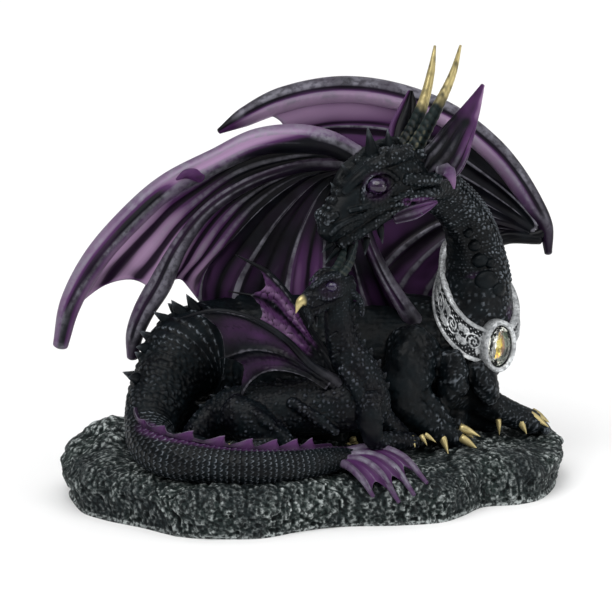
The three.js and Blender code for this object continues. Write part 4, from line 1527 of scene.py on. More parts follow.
@dataclass
class FarWing(MotherWing):
    """The wing behind, whose skin is gathered at a knob beside the wrist's claw."""

    name: str = "far_wing_skin"
    part: Part = Part.FAR_WING
    fingers: Sequence[Finger] = FAR_WING
    bones: Sequence[int] = (0, 4)
    columns: int = 24
    billow: float = -2.5
    pleats: Sequence[int] = (1, 2, 2, 3)
    panel_lilac: Sequence[float] = (0.75, 0.3, 0.3, 0.3)
    knob_path: Rows = ((100.5, 48.5, 99.5, 2.2), (98, 48.5, 97.8, 2.4), (94, 48.2, 97, 2.2))
    knob_lilac: float = 0.02

    def bone(self, index: int) -> Shell:
        """A bone with its paint, near black behind the leading one.

        Args:
            index: the number of its finger.

        Returns:
            Its shell.
        """
        shell = super().bone(index)
        if index:
            shell.marks["lilac"] *= 0.15
            dim_paint(shell, 0.1, 0.1)
        return shell


@dataclass
class NearWing(MotherWing):
    """The wing on the viewer's side, with a clawed knuckle where its second finger leaves the first."""

    name: str = "near_wing_skin"
    part: Part = Part.NEAR_WING
    fingers: Sequence[Finger] = NEAR_WING
    bones: Sequence[int] = (0, 1, 7)
    columns: int = 20
    billow: float = 2.5
    pleats: Sequence[int] = (3, 3, 2, 2, 2, 2, 2)
    panel_lilac: Sequence[float] = (0.9, 0.75, 0.22, 0.12, 0.45, 0.15, 0.1)
    knob_path: Rows = ((-43, 15, 128, 2.9), (-48, 10.5, 129.5, 2.0), (-52, 9.2, 127.5, 0.5))
    knob_lilac: float = 0.4
    knob_uneven: float = 0.15

    def paint_leading(self, shell: Shell, upper: Array, place_: Array) -> None:
        """Paints the leading bone: silver grey rim on its upper side as a painted highlight, lilac face,
        purple below, painted shade on its lower side towards the wrist, greyer past the knuckle.

        Args:
            shell: the bone, which gets the marks.
            upper: 1 on its upper edge to -1 on its lower edge.
            place_: where along the bone each point is.
        """
        beyond = ease(place_, 0.5, 0.6)
        fall = 1.1 * ease(place_, 0.4, 0.05)
        face = ease(upper, -0.7 + fall, 0.1 + fall) * (1 - 0.45 * ease(upper, 0.5, 0.95))
        outer = 0.62 * ease(upper, 0.1, 0.5) + 0.62 * ease(upper, -0.35, -0.75)
        # rim is a painted highlight along the bone's upper side.
        rim = 0.5 + 0.3 * ease(upper, 0.35, 0.85)
        line = 0.35 * beyond * ease(np.abs(upper + 0.12), 0.22, 0.08) * ease(place_, 0.9, 0.8)
        # Painted shade: the bone's lower side is darker towards the wrist.
        line += 0.3 * ease(upper, 0.3, -0.1) * ease(place_, 0.45, 0.25)
        shell.paint(lilac=0.1 + 0.74 * ((1 - beyond) * face + beyond * outer),
                    proud=np.clip(np.maximum(shell.marks["proud"] - 0.03, rim) - line, 0, 1))


# The mother's body

def press_stone_bed(shell: Shell, depth: float, margin: float = 0.4) -> None:
    """Presses the skin in behind the stone, so that its foil lies open.

    Args:
        shell: the skin.
        depth: how deep, in millimetres.
        margin: how far the bed reaches beyond the stone.
    """
    away = shell.points - np.array(STONE_SPOT)
    inside = ease(np.hypot(away @ STONE_SIDE / (STONE_WIDTH / 2 + margin),
                           away[:, 2] / (STONE_HEIGHT / 2 + margin)), 1.1, 0.9)
    inside = inside * ease(away @ STONE_OUT, -9.0, -6.0)
    shell.points = shell.points - STONE_OUT * (depth * inside)[:, None]


LEGS = (BELLY, NEAR_ARM, FAR_ARM, THIGH, FOOT, BACK_THIGH, BACK_FOOT, BACK_SHOULDER)
# Shoulder blade, elbow folds, the strap of skin from neck to arm, haunch and chest
MUSCLES = (
    Limb(((46, 2, 66, 4, 5), (40, -4, 56, 6, 7), (39, -8, 46, 4, 4))),
    Limb(((58, 5, 56, 5, 6), (60, 3, 46, 6, 7), (57, 3, 36, 4, 4))),
    Limb(((46, -3, 44, 3, 3), (52, -2, 37, 3.4, 3), (58, 1, 29, 2.4, 2.4))),
    Limb(((70, 9, 52, 5, 6), (73, 9, 44, 5.5, 6), (76, 12, 36, 3.6, 4))),
    Limb(((-53, 24, 22, 8, 8), (-47, 24, 31, 9, 10), (-38, 25, 42, 12, 14))),
    Limb(((56, 27, 27, 9, 9), (68, 28, 27, 9, 9), (79, 28, 24, 7, 7))),
)
# Distance along a toe in paws, lift and radius
TOE = ((0.1, 0.4, 2.6), (0.75, 0.9, 2.5), (1.15, -0.6, 2.1))


@dataclass
class MotherTorso:
    """Trunk, shoulders, legs and feet, sculpted as one skin with pebbled scales."""

    voxel: float = 0.92
    pebble: float = 2.7
    pebble_height: float = 0.55
    fold_height: float = 0.5
    tail_start: float = 0.42
    neck_stop: float = 0.42
    stone_bed: float = 4.5

    def build(self) -> None:
        """Sculpts the trunk and its legs."""
        shells = tubes(LEGS, 1.6, 40)
        shells.append(tube(BODY, 1.6, 56, (0.0, self.tail_start)))
        shells.append(tube(NECK, 1.6, 48, (0.0, self.neck_stop), grow=-0.4))
        shells += self.toes(NEAR_ARM, 1.1) + self.toes(FAR_ARM, 0.8) + tubes(MUSCLES, 1.2, 24)
        shell = sculpted(shells, self.voxel, 6)
        wandering = shell.points + 0.5 * np.stack([drift(shell.points, 7.0, s) for s in (1, 2, 3)], 1)
        dome, chance = cells(wandering, self.pebble)
        small, _ = cells(wandering, self.pebble * 0.55, 21)
        big = ease(drift(shell.points, 16.0, 5), -0.35, 0.25)
        heights = self.pebble_height * (big * dome * (0.7 + 0.6 * chance) + (1 - big) * 0.6 * small)
        heights += self.fold_height * self.folds(shell.points)
        raise_skin(shell, heights - 0.35)
        mark_proud(shell, 0.3, 4)
        press_stone_bed(shell, self.stone_bed)
        dim_paint(shell, 0.45 + 0.5 * ease(shell.points[:, 0], 46, 62), 0.4)
        place("mother_torso", shell, Finish.SCALES, Part.MOTHER)

    def toes(self, arm: Limb, spread: float) -> list[Shell]:
        """Three knuckled toes fanned out in front of a paw.

        Args:
            arm: the arm.
            spread: radians between the toes.

        Returns:
            Their shells.
        """
        centre, along, side, top, girth = arm.axes(np.array(1.0))
        limbs = []
        for turn in (-spread, 0.0, spread):
            way = along * math.cos(turn) + side * math.sin(turn)
            root = centre - top * 0.5
            limbs.append(Limb([(*(root + way * girth[0] * far + top * lift), radius)
                               for far, lift, radius in TOE]))
        return tubes(limbs, 0.8, 16)

    def folds(self, points: Array) -> Array:
        """Long wrinkles that run down from the neck and round the arms.

        Args:
            points: where to look.

        Returns:
            Heights from -0.6 to 0.4.
        """
        chest = ease(points[:, 0], 34, 46) * ease(points[:, 1], 18, 4)
        slant = points[:, 0] * 0.75 + points[:, 2] * 0.65 + 1.5 * np.sin(points[:, 2] / 6)
        return chest * (np.abs(np.sin(slant / 2.6)) ** 0.7 - 0.6)


# Place, degrees round the neck and radius
NECK_SHIELDS = ((0.45, 165, 5.0), (0.56, 172, 3.6), (0.65, 174, 3.0), (0.73, 176, 2.4),
                (0.4, 142, 3.4), (0.53, 150, 2.6))


@dataclass
class MotherNeck:
    """The neck: fine beaded scales, smooth shields down its side and a beaded ridge."""

    step: float = 0.5
    sides: int = 150
    scale: float = 1.9
    stone_bed: float = 4.5

    def relief(self, skin: Skin) -> Array:
        """Rows of small scales, broader and smoother on the throat.

        Args:
            skin: where the points lie.

        Returns:
            Their height in millimetres.
        """
        rows = shingles(skin, self.scale, 44, 0.35)
        throat = ease(np.cos(skin.turn + math.pi / 2), 0.55, 0.9)
        bands = np.abs(np.sin(skin.along / 3.2 * math.pi / 2)) ** 0.5
        muscle = (0.7 * np.sin(3 * skin.turn + 0.035 * skin.along)
                  + 0.35 * np.sin(5 * skin.turn - 0.05 * skin.along))
        return (1 - throat) * 0.3 * rows + throat * 0.8 * bands + muscle - 1.5

    def build(self) -> None:
        """Makes the neck's skin, its shields and its beads."""
        shell = tube(NECK, self.step, self.sides, (0.1, 1.0), self.relief)
        pebbles, chance = cells(shell.points, self.scale, 11)
        dorsal = ease(np.sin(shell.marks["turn"]), 0.3, 0.95)
        raise_skin(shell, (0.22 + 0.35 * dorsal) * pebbles * (0.3 + 1.2 * chance))
        mark_proud(shell, 0.22, 5)
        press_stone_bed(shell, self.stone_bed)
        shell.paint(lilac=0.2 * ease(drift(shell.points, 14.0, 9), 0.1, 0.7))
        place("mother_neck", shell, Finish.SCALES, Part.MOTHER)
        shields = Row()
        for place_, degrees, size in NECK_SHIELDS:
            at, turn = np.array(place_), np.array(math.radians(degrees))
            spot, along = NECK.axes(at)[:2]
            shields.put(NECK.skin(at, turn, -1.5), NECK.skin(at, turn, 1.0) - spot, along,
                        (size * 0.85, size, 2.2))
        shields.lay("mother_neck_shields", Ornament.BEAD, Finish.SCALES, Part.MOTHER, sides=22,
                    proud=0.52)
        beads = Row()
        for lane, start in ((-0.16, 0.42), (0.16, 0.425), (0.0, 0.42)):
            beads.ridge(NECK, (start, 0.97), 30,
                        lambda share: (1.3 - 0.3 * share, 1.1 - 0.2 * share, 1.5), 1.2, TOP_TURN + lane)
        beads.lay("mother_neck_beads", Ornament.BEAD, Finish.SCALES, Part.MOTHER)


FRILL_TIPS = (0.608, 0.652, 0.698, 0.748, 0.79, 0.828, 0.86, 0.895)
# Root and tip
TAIL_SPIKES = (((-54.5, 9, 68.6), (-63, 8, 73)), ((-49.5, 10, 71.2), (-55, 9, 77)),
               ((-44, 11, 72.6), (-49.5, 10, 80)), ((-60.5, 6, 61.5), (-68, 6, 65.2)),
               ((-66, -4, 48.6), (-74, -4, 50.2)), ((-64.5, 2, 55), (-70, 1, 57.6)))


@dataclass
class MotherTail:
    """The tail: plates at its root, pebbles, then tight rings of scales, with a purple frill."""

    step: float = 0.42
    sides: int = 128
    root: float = 0.34
    ring_from: float = 0.56
    ring_pitch: float = 2.1
    plate_pitch: float = 3.4

    def relief(self, skin: Skin) -> Array:
        """Plates, pebbles and rings in turn along the tail.

        Args:
            skin: where the points lie.

        Returns:
            Their height in millimetres.
        """
        plates = 0.75 * shingles(skin, self.plate_pitch, 26, 0.2)
        rings = 0.55 * shingles(skin, self.ring_pitch, 20, 0.5)
        pebbled = ease(skin.place, 0.43, 0.455) * ease(skin.place, 0.57, 0.54)
        ringed = ease(skin.place, self.ring_from - 0.02, self.ring_from + 0.02)
        plated = ease(skin.place, 0.47, 0.44)
        sunk = 3.0 * ease(skin.place, self.root + 0.05, self.root)
        return plates * plated * (1 - pebbled) + rings * ringed - 0.35 - 0.4 * ringed - sunk

    def build(self) -> None:
        """Makes the tail, its frill, the spikes at its root and the fin at its end."""
        shell = tube(BODY, self.step, self.sides, (self.root, 1.0), self.relief)
        spot, place_ = shell.points, shell.marks["place"]
        dome, chance = cells(spot, 2.5, 13)
        pebbled = ease(place_, 0.42, 0.455) * ease(place_, 0.58, 0.54)
        raise_skin(shell, 0.75 * dome * pebbled * (0.7 + 0.5 * chance))
        top = np.sin(shell.marks["turn"])
        shell.paint(lilac=0.3 * ease(top, 0.8, 0.99) * ease(place_, 0.57, 0.62))
        mark_proud(shell, 0.2, 4)
        upper_tail = Shell(spot, shell.quads, marks={"proud": shell.marks["proud"]})
        dim_paint(upper_tail, 0.55, 0.45)
        shell.paint(proud=np.where(place_ < 0.57, upper_tail.marks["proud"], shell.marks["proud"]))
        place("mother_tail", shell, Finish.SCALES, Part.MOTHER)
        frill = crest(BODY, (0.56, 0.94), FRILL_TIPS, 3.9, 0.7, 1.0, 0.5)
        place("mother_tail_frill", frill, Finish.MEMBRANE, Part.MOTHER_FINS)
        spikes = Row()
        spikes.ridge(BODY, (0.14, 0.5), 8, lambda share: (2.8, 1.6, 5.0 + 1.5 * share), 1.2)
        for root, tip in TAIL_SPIKES:
            spikes.spike(root, tip, UP, 2.6, 1.8)
        spikes.lay("mother_back_spikes", Ornament.SPIKE, Finish.SCALES, Part.MOTHER, 0.35, 10)
        self.fin()

    def fin(self) -> None:
        """Makes the ribbed fan at the tail's end."""
        shell = web_shell(TAIL_FIN, 16, 60, 1.4, 3.4, 0.5,
                          lambda lay: -0.5 * np.abs(np.sin(2 * math.pi * lay.across)) * lay.down)
        shell.paint(lilac=0.2 + 0.2 * np.sin(math.pi * shell.marks["across"]))
        bones = tubes([finger.bone() for finger in TAIL_FIN], 0.6, 16)
        for bone in bones:
            bone.paint(lilac=0.32)
        shells = [shell] + bones
        for each in shells:
            mark_proud(each, 0.22, 5)
        place("mother_tail_fin", joined(shells), Finish.MEMBRANE, Part.MOTHER_FINS)


# Raised lines on both sides of the head: place, degrees, height above the skin and radius
HEAD_LINES = (
    # Brow
    ((0.66, 118, 0.0, 1.6), (0.58, 122, 1.0, 2.2), (0.5, 128, 1.8, 2.3), (0.4, 132, 1.6, 2.4),
     (0.3, 130, 0.8, 2.4)),
    # Upper lid
    ((0.62, 168, -0.2, 1.0), (0.57, 146, 1.0, 1.2), (0.5, 139, 1.6, 1.3), (0.44, 146, 1.2, 1.3),
     (0.4, 166, 0.2, 1.1)),
    # Lower lid
    ((0.62, 168, -0.2, 1.0), (0.56, 180, 0.5, 1.2), (0.49, 183, 0.8, 1.2), (0.42, 176, 0.4, 1.1)),
    # Lip
    ((0.98, 172, -0.4, 1.3), (0.88, 168, 0.2, 1.3), (0.78, 176, 0.5, 1.2), (0.68, 190, 0.8, 1.1),
     (0.58, 196, 1.0, 1.1), (0.48, 206, 0.8, 1.2), (0.4, 214, 0.2, 1.2)),
    # Fold between lip and lid
    ((0.72, 160, 0.4, 1.0), (0.64, 176, 0.9, 1.1), (0.54, 188, 1.1, 1.1), (0.44, 196, 1.0, 1.1),
     (0.34, 194, 0.4, 1.2)),
    # Rim of the nostril
    ((0.9, 128, 0.0, 1.4), (0.84, 134, 0.9, 1.7), (0.79, 142, 0.6, 1.2)),
    # Cheek
    ((0.36, 170, 0.2, 2.2), (0.28, 178, 1.0, 2.6), (0.18, 176, 0.8, 2.6)),
    # Corner of the jaw
    ((0.34, 206, 0.0, 2.2), (0.24, 204, 1.2, 2.6), (0.14, 200, 1.0, 2.4)),
)
HEAD_KNOBS = ((0.47, 112, 2.2), (0.38, 108, 2.6), (0.3, 118, 2.6), (0.24, 134, 2.6))
# Root, tip and radius of small horn, brow spikes, snout spikes and beard
HEAD_SPIKES = (
    ((27, -8, 136), (24, -6, 150.5), 3.0), ((30, -17, 137), (34, -19, 146), 2.0),
    ((33, -3, 141), (32, -1, 150), 2.2), ((14, -15, 124), (9, -17, 131), 1.8),
    ((19, -13, 130), (14, -14, 137), 1.9), ((13, -18, 105), (7, -20, 98), 1.8),
    ((10.5, -19, 107), (6, -20.5, 103), 1.4), ((18, -16, 106), (15, -17, 97), 1.9),
    ((24, -13, 108), (23, -13, 100), 1.6), ((29, -13, 113), (30, -14, 106), 1.6),
    ((40, -9, 122), (46, -14, 117), 2.2), ((42, -8, 127), (50, -14, 125.5), 2.2),
)
EAR_BARB = Limb(((52, -8.5, 135, 2.6, 1.8), (55.5, -9.2, 134.5, 3, 1.5), (57.6, -9.8, 131, 1.7, 1.1),
                 (58.4, -10, 127, 0.4, 0.4)), LEAF_FACING)
CHEEK_FRILL = Limb(((35, -14, 115.5, 2.2, 1.2), (42, -13, 118, 3, 1.3), (48, -12, 120.5, 2, 1.1),
                    (51.5, -12, 122, 0.6, 0.6)), (0.2, -1.0, 0.4))
SPIKE_LEAN = (0.4, -0.2, 0.9)


@dataclass
class MotherHead:
    """Head and jaw, with brows, lids, nostrils, lips, ears and horns."""

    voxel: float = 0.45
    scale: float = 1.55
    eye_place: float = 0.513
    eye_degrees: float = 158.0
    eye_sizes: Triple = (4.6, 3.4, 3.3)
    snout_beads: int = 7

    def both(self, place_: float, degrees: float, proud: float = 0.0) -> list[Array]:
        """The same spot on the near and the far side of the head.

        Args:
            place_: where along the head.
            degrees: where round it.
            proud: millimetres above the skin.

        Returns:
            The two spots.
        """
        turns = (math.radians(degrees), math.pi - math.radians(degrees))
        return [HEAD.skin(np.array(place_), np.array(turn), proud) for turn in turns]

    def ridge(self, stops: Rows) -> list[Shell]:
        """A raised line on both sides of the head.

        Args:
            stops: place, degrees, height above the skin and radius.

        Returns:
            Its two shells.
        """
        spots = [self.both(*stop[:3]) for stop in stops]
        return tubes([Limb([(*pair[i], stop[3]) for pair, stop in zip(spots, stops)], (0.3, -0.2, 1.0))
                      for i in range(2)], 0.6, 16)

    def forms(self) -> list[Shell]:
        """The head's raised forms, near and far.

        Returns:
            Their shells.
        """
        shells = tubes((HEAD, JAW), 0.8, 40) + tubes((BROW, FAR_BROW), 0.7, 20)
        for stops in HEAD_LINES:
            shells += self.ridge(stops)
        for i in range(self.snout_beads):
            shells += [ball(spot, (1.9 - 0.12 * i, 1.7 - 0.1 * i, 1.8 - 0.1 * i))
                       for spot in self.both(0.62 + 0.055 * i, 104, -0.2)]
        for place_, degrees, size in HEAD_KNOBS:
            shells += [ball(spot, (size, size * 0.9, size * 0.9))
                       for spot in self.both(place_, degrees, 0.4)]
        return shells

    def sockets(self, shell: Shell) -> None:
        """Presses the eye sockets and the nostrils into the skin.

        Args:
            shell: the head.
        """
        for spot in self.both(self.eye_place, self.eye_degrees, 0.5):
            raise_skin(shell, -1.6 * near_to(shell.points, spot, (5.4, 5.4, 4.0), 1.0, 0.55))
        for spot in self.both(0.87, 140, 0.6):
            raise_skin(shell, -1.3 * near_to(shell.points, spot, 1.0, 1.5, 0.5))

    def build(self) -> None:
        """Sculpts the head and adds its eyes, ears, horns, tufts and beard."""
        shell = sculpted(self.forms(), self.voxel, 3)
        self.sockets(shell)
        dome, chance = cells(shell.points, self.scale, 31)
        along = (shell.points - np.array(HEAD.stations[-1][:3])) @ unit(np.array([-1.0, -0.6, 0.45]))
        raise_skin(shell, (0.3 * dome * (0.4 + chance) + 0.4 * drift(shell.points, 4.2, 33))
                   * ease(np.abs(along), 0.0, 6.0) - 0.1)
        eyes = self.both(self.eye_place, self.eye_degrees)
        glow = sum(near_to(shell.points, eye, 1.0, 8.5, 4.5) for eye in eyes)
        cheek = sum(near_to(shell.points, spot, (11, 8, 3.0), 1.0, 0.4) for spot in self.both(0.3, 218))
        shell.paint(lilac=np.clip(0.16 * glow + 0.5 * cheek, 0, 1))
        mark_proud(shell, 0.2, 5)
        dim_paint(shell, 0.8, 0.6)
        place("mother_head", shell, Finish.SCALES, Part.MOTHER)
        balls = [ball(eye, self.eye_sizes, math.radians(-30)) for eye in eyes]
        for each in balls:
            # Painted glints: proud is lifted at random, so patches of the pale brush colour show on the
            # eye.
            each.paint(proud=0.48 + 0.4 * drift(each.points, 1.1, 4), lilac=0.16)
        place("mother_eyes", joined(balls), Finish.EYE, Part.MOTHER)
        self.ears()
        self.horns()
        tufts = Row()
        for root, tip, thick in HEAD_SPIKES:
            tufts.spike(root, tip, SPIKE_LEAN, thick, thick * 0.8)
        tufts.lay("mother_head_spikes", Ornament.SPIKE, Finish.SCALES, Part.MOTHER, 0.12, 12)

    def ears(self) -> None:
        """Makes leaf ears with ribs that fan from root to tip, a barb and a cheek frill."""
        near = tube(NEAR_EAR, 0.55, 96, relief=lambda s: 0.9 * ease(s.place, 0.75, 0.3)
                    * (np.abs(np.cos(s.turn * 5.5 + 1.2 * s.place)) - 0.6))
        far = tube(FAR_EAR, 0.5, 80, relief=lambda s: 0.9 * np.abs(np.cos(s.turn * 3.5)) - 0.5)
        barb = tube(EAR_BARB, 0.5, 24)
        frill = tube(CHEEK_FRILL, 0.4, 40,
                     relief=lambda s: 0.5 * np.abs(np.sin(s.turn * 3 + 2 * s.place)) - 0.4)
        across, place_ = np.cos(near.marks["turn"]), near.marks["place"]
        near.paint(lilac=0.12 * drift(near.points, 3.0, 35) + 0.06
                   + 0.4 * ease(across, 0.0, 0.8) * ease(place_, 0.1, 0.5)
                   + 0.25 * ease(place_, 0.55, 0.9))
        far.paint(lilac=0.05 + 0.4 * ease(np.cos(far.marks["turn"]), -0.5, -0.95))
        barb.paint(lilac=0.15 + 0.45 * ease(barb.marks["place"], 0.1, 0.8))
        frill.paint(lilac=0.16 + 0.24 * ease(frill.marks["place"], 0.2, 0.7))
        shells = [near, far, barb, frill]
        for each in shells:
            mark_proud(each, 0.2, 5)
        place("mother_ears", joined(shells), Finish.MEMBRANE, Part.MOTHER_FINS)

    def horns(self) -> None:
        """Makes ringed horns, dark at the root and gold above."""
        shells = []
        for limb, gold_from in ((NEAR_HORN, 0.4), (FAR_HORN, 0.34)):
            horn = tube(limb, 0.4, 28, relief=lambda s: 0.3 * ease(s.place, 0.7, 0.2)
                        * (np.abs(np.sin(s.along * 1.1 + np.sin(s.turn))) - 0.5)
                        + 0.22 * np.cos(6 * s.turn) * ease(s.place, 0.5, 0.0))
            gold = ease(horn.marks["place"], gold_from, gold_from + 0.2)
            streaks = drift(horn.points * np.array([1, 1, 0.5]), 1.2, 61)
            mark_proud(horn, 0.2, 4)
            horn.paint(gleam=gold * (0.75 + 0.5 * streaks), proud=horn.marks["proud"] - 0.2)
            shells.append(horn)
        place("mother_horns", joined(shells), Finish.GOLD, Part.MOTHER)


# The collar and its stone

# Scrolls of one cell: centre, reach and the way they coil
SCROLLS = ((-0.4, 0.2, 3.9, 1), (4.3, -2.8, 1.7, -1), (-4.4, 3.0, 1.6, -1), (4.2, 2.6, 1.5, 1),
           (-4.3, -2.9, 1.5, 1))
SCROLL_CELL = 11.0
# Width beyond the stone and height
BEZEL_PROFILE = ((-0.7, -2.0), (-0.7, 0.4), (-0.2, 1.0), (0.1, 1.5), (0.4, 2.4), (0.9, 2.95),
                 (1.5, 3.0), (2.05, 2.6), (2.35, 1.9), (2.4, 1.0), (2.5, -2.0))
BEZEL_PROUD = (0.2, 0.1, 0.15, 0.3, 0.7, 0.9, 0.95, 0.85, 0.7, 0.6, 0.5)
FOIL_PROFILE = ((-0.5, -0.2), (-2.2, -1.1), (-4.2, -1.5), (-5.6, -1.6), (-5.6, -2.2), (-0.5, -2.2))
# Gleam of each foil row; the high middle rows reach the pale yellow painted highlight
FOIL_GOLD_AND_HIGHLIGHT = (0.0, 0.16, 0.62, 0.9, 0.9, 0.0)
# Rings of the cut stone: share of its width, height and turn in facets
FACET_RINGS = ((0.50, 3.7, 0.5), (0.80, 2.9, 0.0), (0.99, 1.5, 0.5), (0.99, 1.1, 0.5), (0.62, 0.1, 0.0),
               (0.2, -0.7, 0.5))


def on_stone(x: Array, y: Array, z: Array) -> Array:
    """Points given sideways, upwards and outwards from the stone's place."""
    return np.array(STONE_SPOT) + sum(part[..., None] * np.array(way) for part, way in
                                      ((x, STONE_SIDE), (y, UP), (z, STONE_OUT)))


@dataclass
class Collar:
    """The silver collar: two rims with scrollwork between, and the stone in its bezel."""

    around: int = 460
    lifts: int = 56
    rim: float = 1.1
    carving: float = 0.75
    cell: float = 8.6
    length: float = 108.0
    facets: int = 12

    def carving_height(self, along: Array, lift: Array) -> Array:
        """The scrollwork.

        Args:
            along: millimetres along the band.
            lift: millimetres above its middle.

        Returns:
            Its height from 0 to 1.
        """
        number = np.floor(along / self.cell)
        flip = np.where(number % 2 == 0, 1.0, -1.0)
        x = (along - (number + 0.5) * self.cell) * flip * SCROLL_CELL / self.cell
        y = lift * flip * SCROLL_CELL / self.cell
        best = np.zeros_like(along)
        for centre_x, centre_y, reach, hand in SCROLLS:
            far = np.hypot(x - centre_x, y - centre_y)
            turn = np.arctan2((y - centre_y) * hand, x - centre_x)
            coil = reach / 1.9
            arm = (far - coil * turn / FULL_TURN) / coil
            line = np.abs(arm - np.round(arm)) * coil
            best = np.maximum(best, np.exp(-((line / 0.42) ** 2)) * ease(far, reach + 0.4, reach))
        dots = (np.sin(along * 3.4) * np.sin(lift * 3.4 + along * 0.4) > 0.55) * 0.6
        return np.maximum(best, dots)

    def band(self) -> Shell:
        """The band: a grid bent round the neck, with rims and carving standing proud.

        Returns:
            Its shell.
        """
        half = COLLAR_WIDTH / 2
        lift = np.concatenate([[-half, -half], np.linspace(-half, half, self.lifts), [half, half]])
        depth = np.concatenate([[-3.0, -1.5], np.zeros(self.lifts), [-1.5, -3.0]])
        turns, lifts = np.meshgrid(np.linspace(0, FULL_TURN, self.around, endpoint=False), lift)
        depths = np.repeat(depth[:, None], self.around, 1)
        level = COLLAR_HEIGHT - COLLAR_DROP * np.cos(turns - STONE_TURN) + lifts
        spot, _, _, _, girth = NECK.axes(np.clip((level - NECK_FOOT) / NECK_RISE, 0, 1))
        along = np.cumsum(np.full(self.around, self.length / self.around))[None] * np.ones_like(lifts)
        edge = ease(np.abs(lifts), half - self.rim - 0.5, half - self.rim)
        inner = ease(np.abs(lifts), half - self.rim - 0.3, half - self.rim - 0.8)
        carved = self.carving_height(along, lifts) * inner
        proud = np.where(depths < 0, depths + COLLAR_PROUD * 0.6,
                         COLLAR_PROUD * 0.62 + edge * 0.9 + self.carving * carved)
        points = np.stack([spot[..., 0] + np.cos(turns) * (girth[..., 1] + proud),
                           spot[..., 1] + np.sin(turns) * (girth[..., 0] + proud), level], -1)
        shell = Shell(points.reshape(-1, 3), grid_faces(len(lift), self.around, True, True))
        shell.paint(proud=np.clip(0.24 + 0.62 * np.maximum(edge, carved * 0.9).ravel(), 0, 1))
        press_stone_bed(shell, 5.5)
        return shell.faced_out()

    def oval(self, profile: Rows, sides: int, mark: str, shades: Sequence[float]) -> Shell:
        """A closed oval ring round the stone.

        Args:
            profile: rows of width beyond the stone and height.
            sides: points round it.
            mark: a mark that it gets.
            shades: that mark's value for each row.

        Returns:
            Its shell.
        """
        turn = np.linspace(0, FULL_TURN, sides, endpoint=False)
        rows = np.array(profile)
        points = on_stone((STONE_WIDTH / 2 + rows[:, :1]) * np.cos(turn),
                          (STONE_HEIGHT / 2 + rows[:, :1]) * np.sin(turn), rows[:, 1:] * np.ones(sides))
        shell = fix_walls(Shell(points.reshape(-1, 3), grid_faces(len(rows), sides, True, True)))
        shell.paint(**{mark: np.repeat(np.array(shades), sides)})
        return shell

    def stone(self) -> Shell:
        """The cut stone: a table, a crown of facets and a shallow back.

        Returns:
            Its shell.
        """
        sides, rings = self.facets, len(FACET_RINGS)
        points = []
        for wide, height, shift in FACET_RINGS:
            turn = (np.arange(sides) + shift) / sides * FULL_TURN
            points.append(on_stone(np.cos(turn) * STONE_WIDTH / 2 * wide,
                                   np.sin(turn) * STONE_HEIGHT / 2 * wide, np.full(sides, height)))
        points.append(on_stone(np.zeros(2), np.zeros(2), np.array([3.75, -0.9])))
        tris = []
        for i in range(rings - 1):
            for j in range(sides):
                k = (j + 1) % sides
                a, b, c, d = i * sides + j, i * sides + k, (i + 1) * sides + j, (i + 1) * sides + k
                lead = (i % 2 == 0) if i < 3 else (i % 2 == 1)
                tris += [(a, b, d), (a, d, c)] if lead else [(a, b, c), (b, d, c)]
        top, low, base = rings * sides, rings * sides + 1, (rings - 1) * sides
        tris += [(j, top, (j + 1) % sides) for j in range(sides)]
        tris += [(base + (j + 1) % sides, low, base + j) for j in range(sides)]
        return Shell(np.vstack(points), np.zeros((0, 4), int), np.array(tris)).faced_out()

    def build(self) -> None:
        """Makes band, bezel, foil and stone."""
        bezel = self.oval(BEZEL_PROFILE, 96, "proud", BEZEL_PROUD)
        place("collar", joined([self.band(), bezel]), Finish.SILVER, Part.MOTHER)
        place("stone_foil", self.oval(FOIL_PROFILE, 48, "gleam", FOIL_GOLD_AND_HIGHLIGHT), Finish.FOIL, Part.MOTHER)
        place("stone", self.stone(), Finish.STONE, Part.STONE, smooth=False)


# Claws, hatchling and rock

# Root, tip and radius
MOTHER_TALONS = (
    ((54.6, -3.2, 25.4), (57.6, -8.6, 18.6), 1.9), ((62.5, 0.5, 26.8), (71.2, -0.4, 23.6), 1.9),
    ((62.8, -2.2, 23.4), (70.8, -5.6, 18.8), 1.9), ((62.5, 6.5, 24.6), (69.5, 8.8, 20.2), 1.8),
    ((87.2, 19.2, 27.0), (91.4, 16.6, 20.4), 2.0), ((92.8, 21.5, 26.6), (101.8, 20.6, 21.6), 2.1),
    ((94.5, 28, 26.0), (102.6, 31.5, 21.0), 2.0), ((79.4, 15.4, 26.4), (79.8, 13.2, 20.4), 1.3),
)
CUB_TALONS = (
    ((37.6, -19, 27.6), (37.2, -22.2, 24.4), 1.2), ((42.2, -18.6, 28.0), (43.6, -21.8, 24.6), 1.2),
    ((46.0, -17.2, 28.2), (48.6, -20.2, 24.8), 1.2), ((47.6, -14.6, 28.0), (52.6, -16.0, 25.0), 1.2),
    ((-27.5, -40.2, 29.6), (-30.6, -42.6, 27.4), 1.1), ((-29.5, -37.6, 29.8), (-33.6, -38.4, 27.4), 1.1),
    ((-25.0, -41.6, 29.2), (-26.2, -44.6, 27.0), 1.1),
)


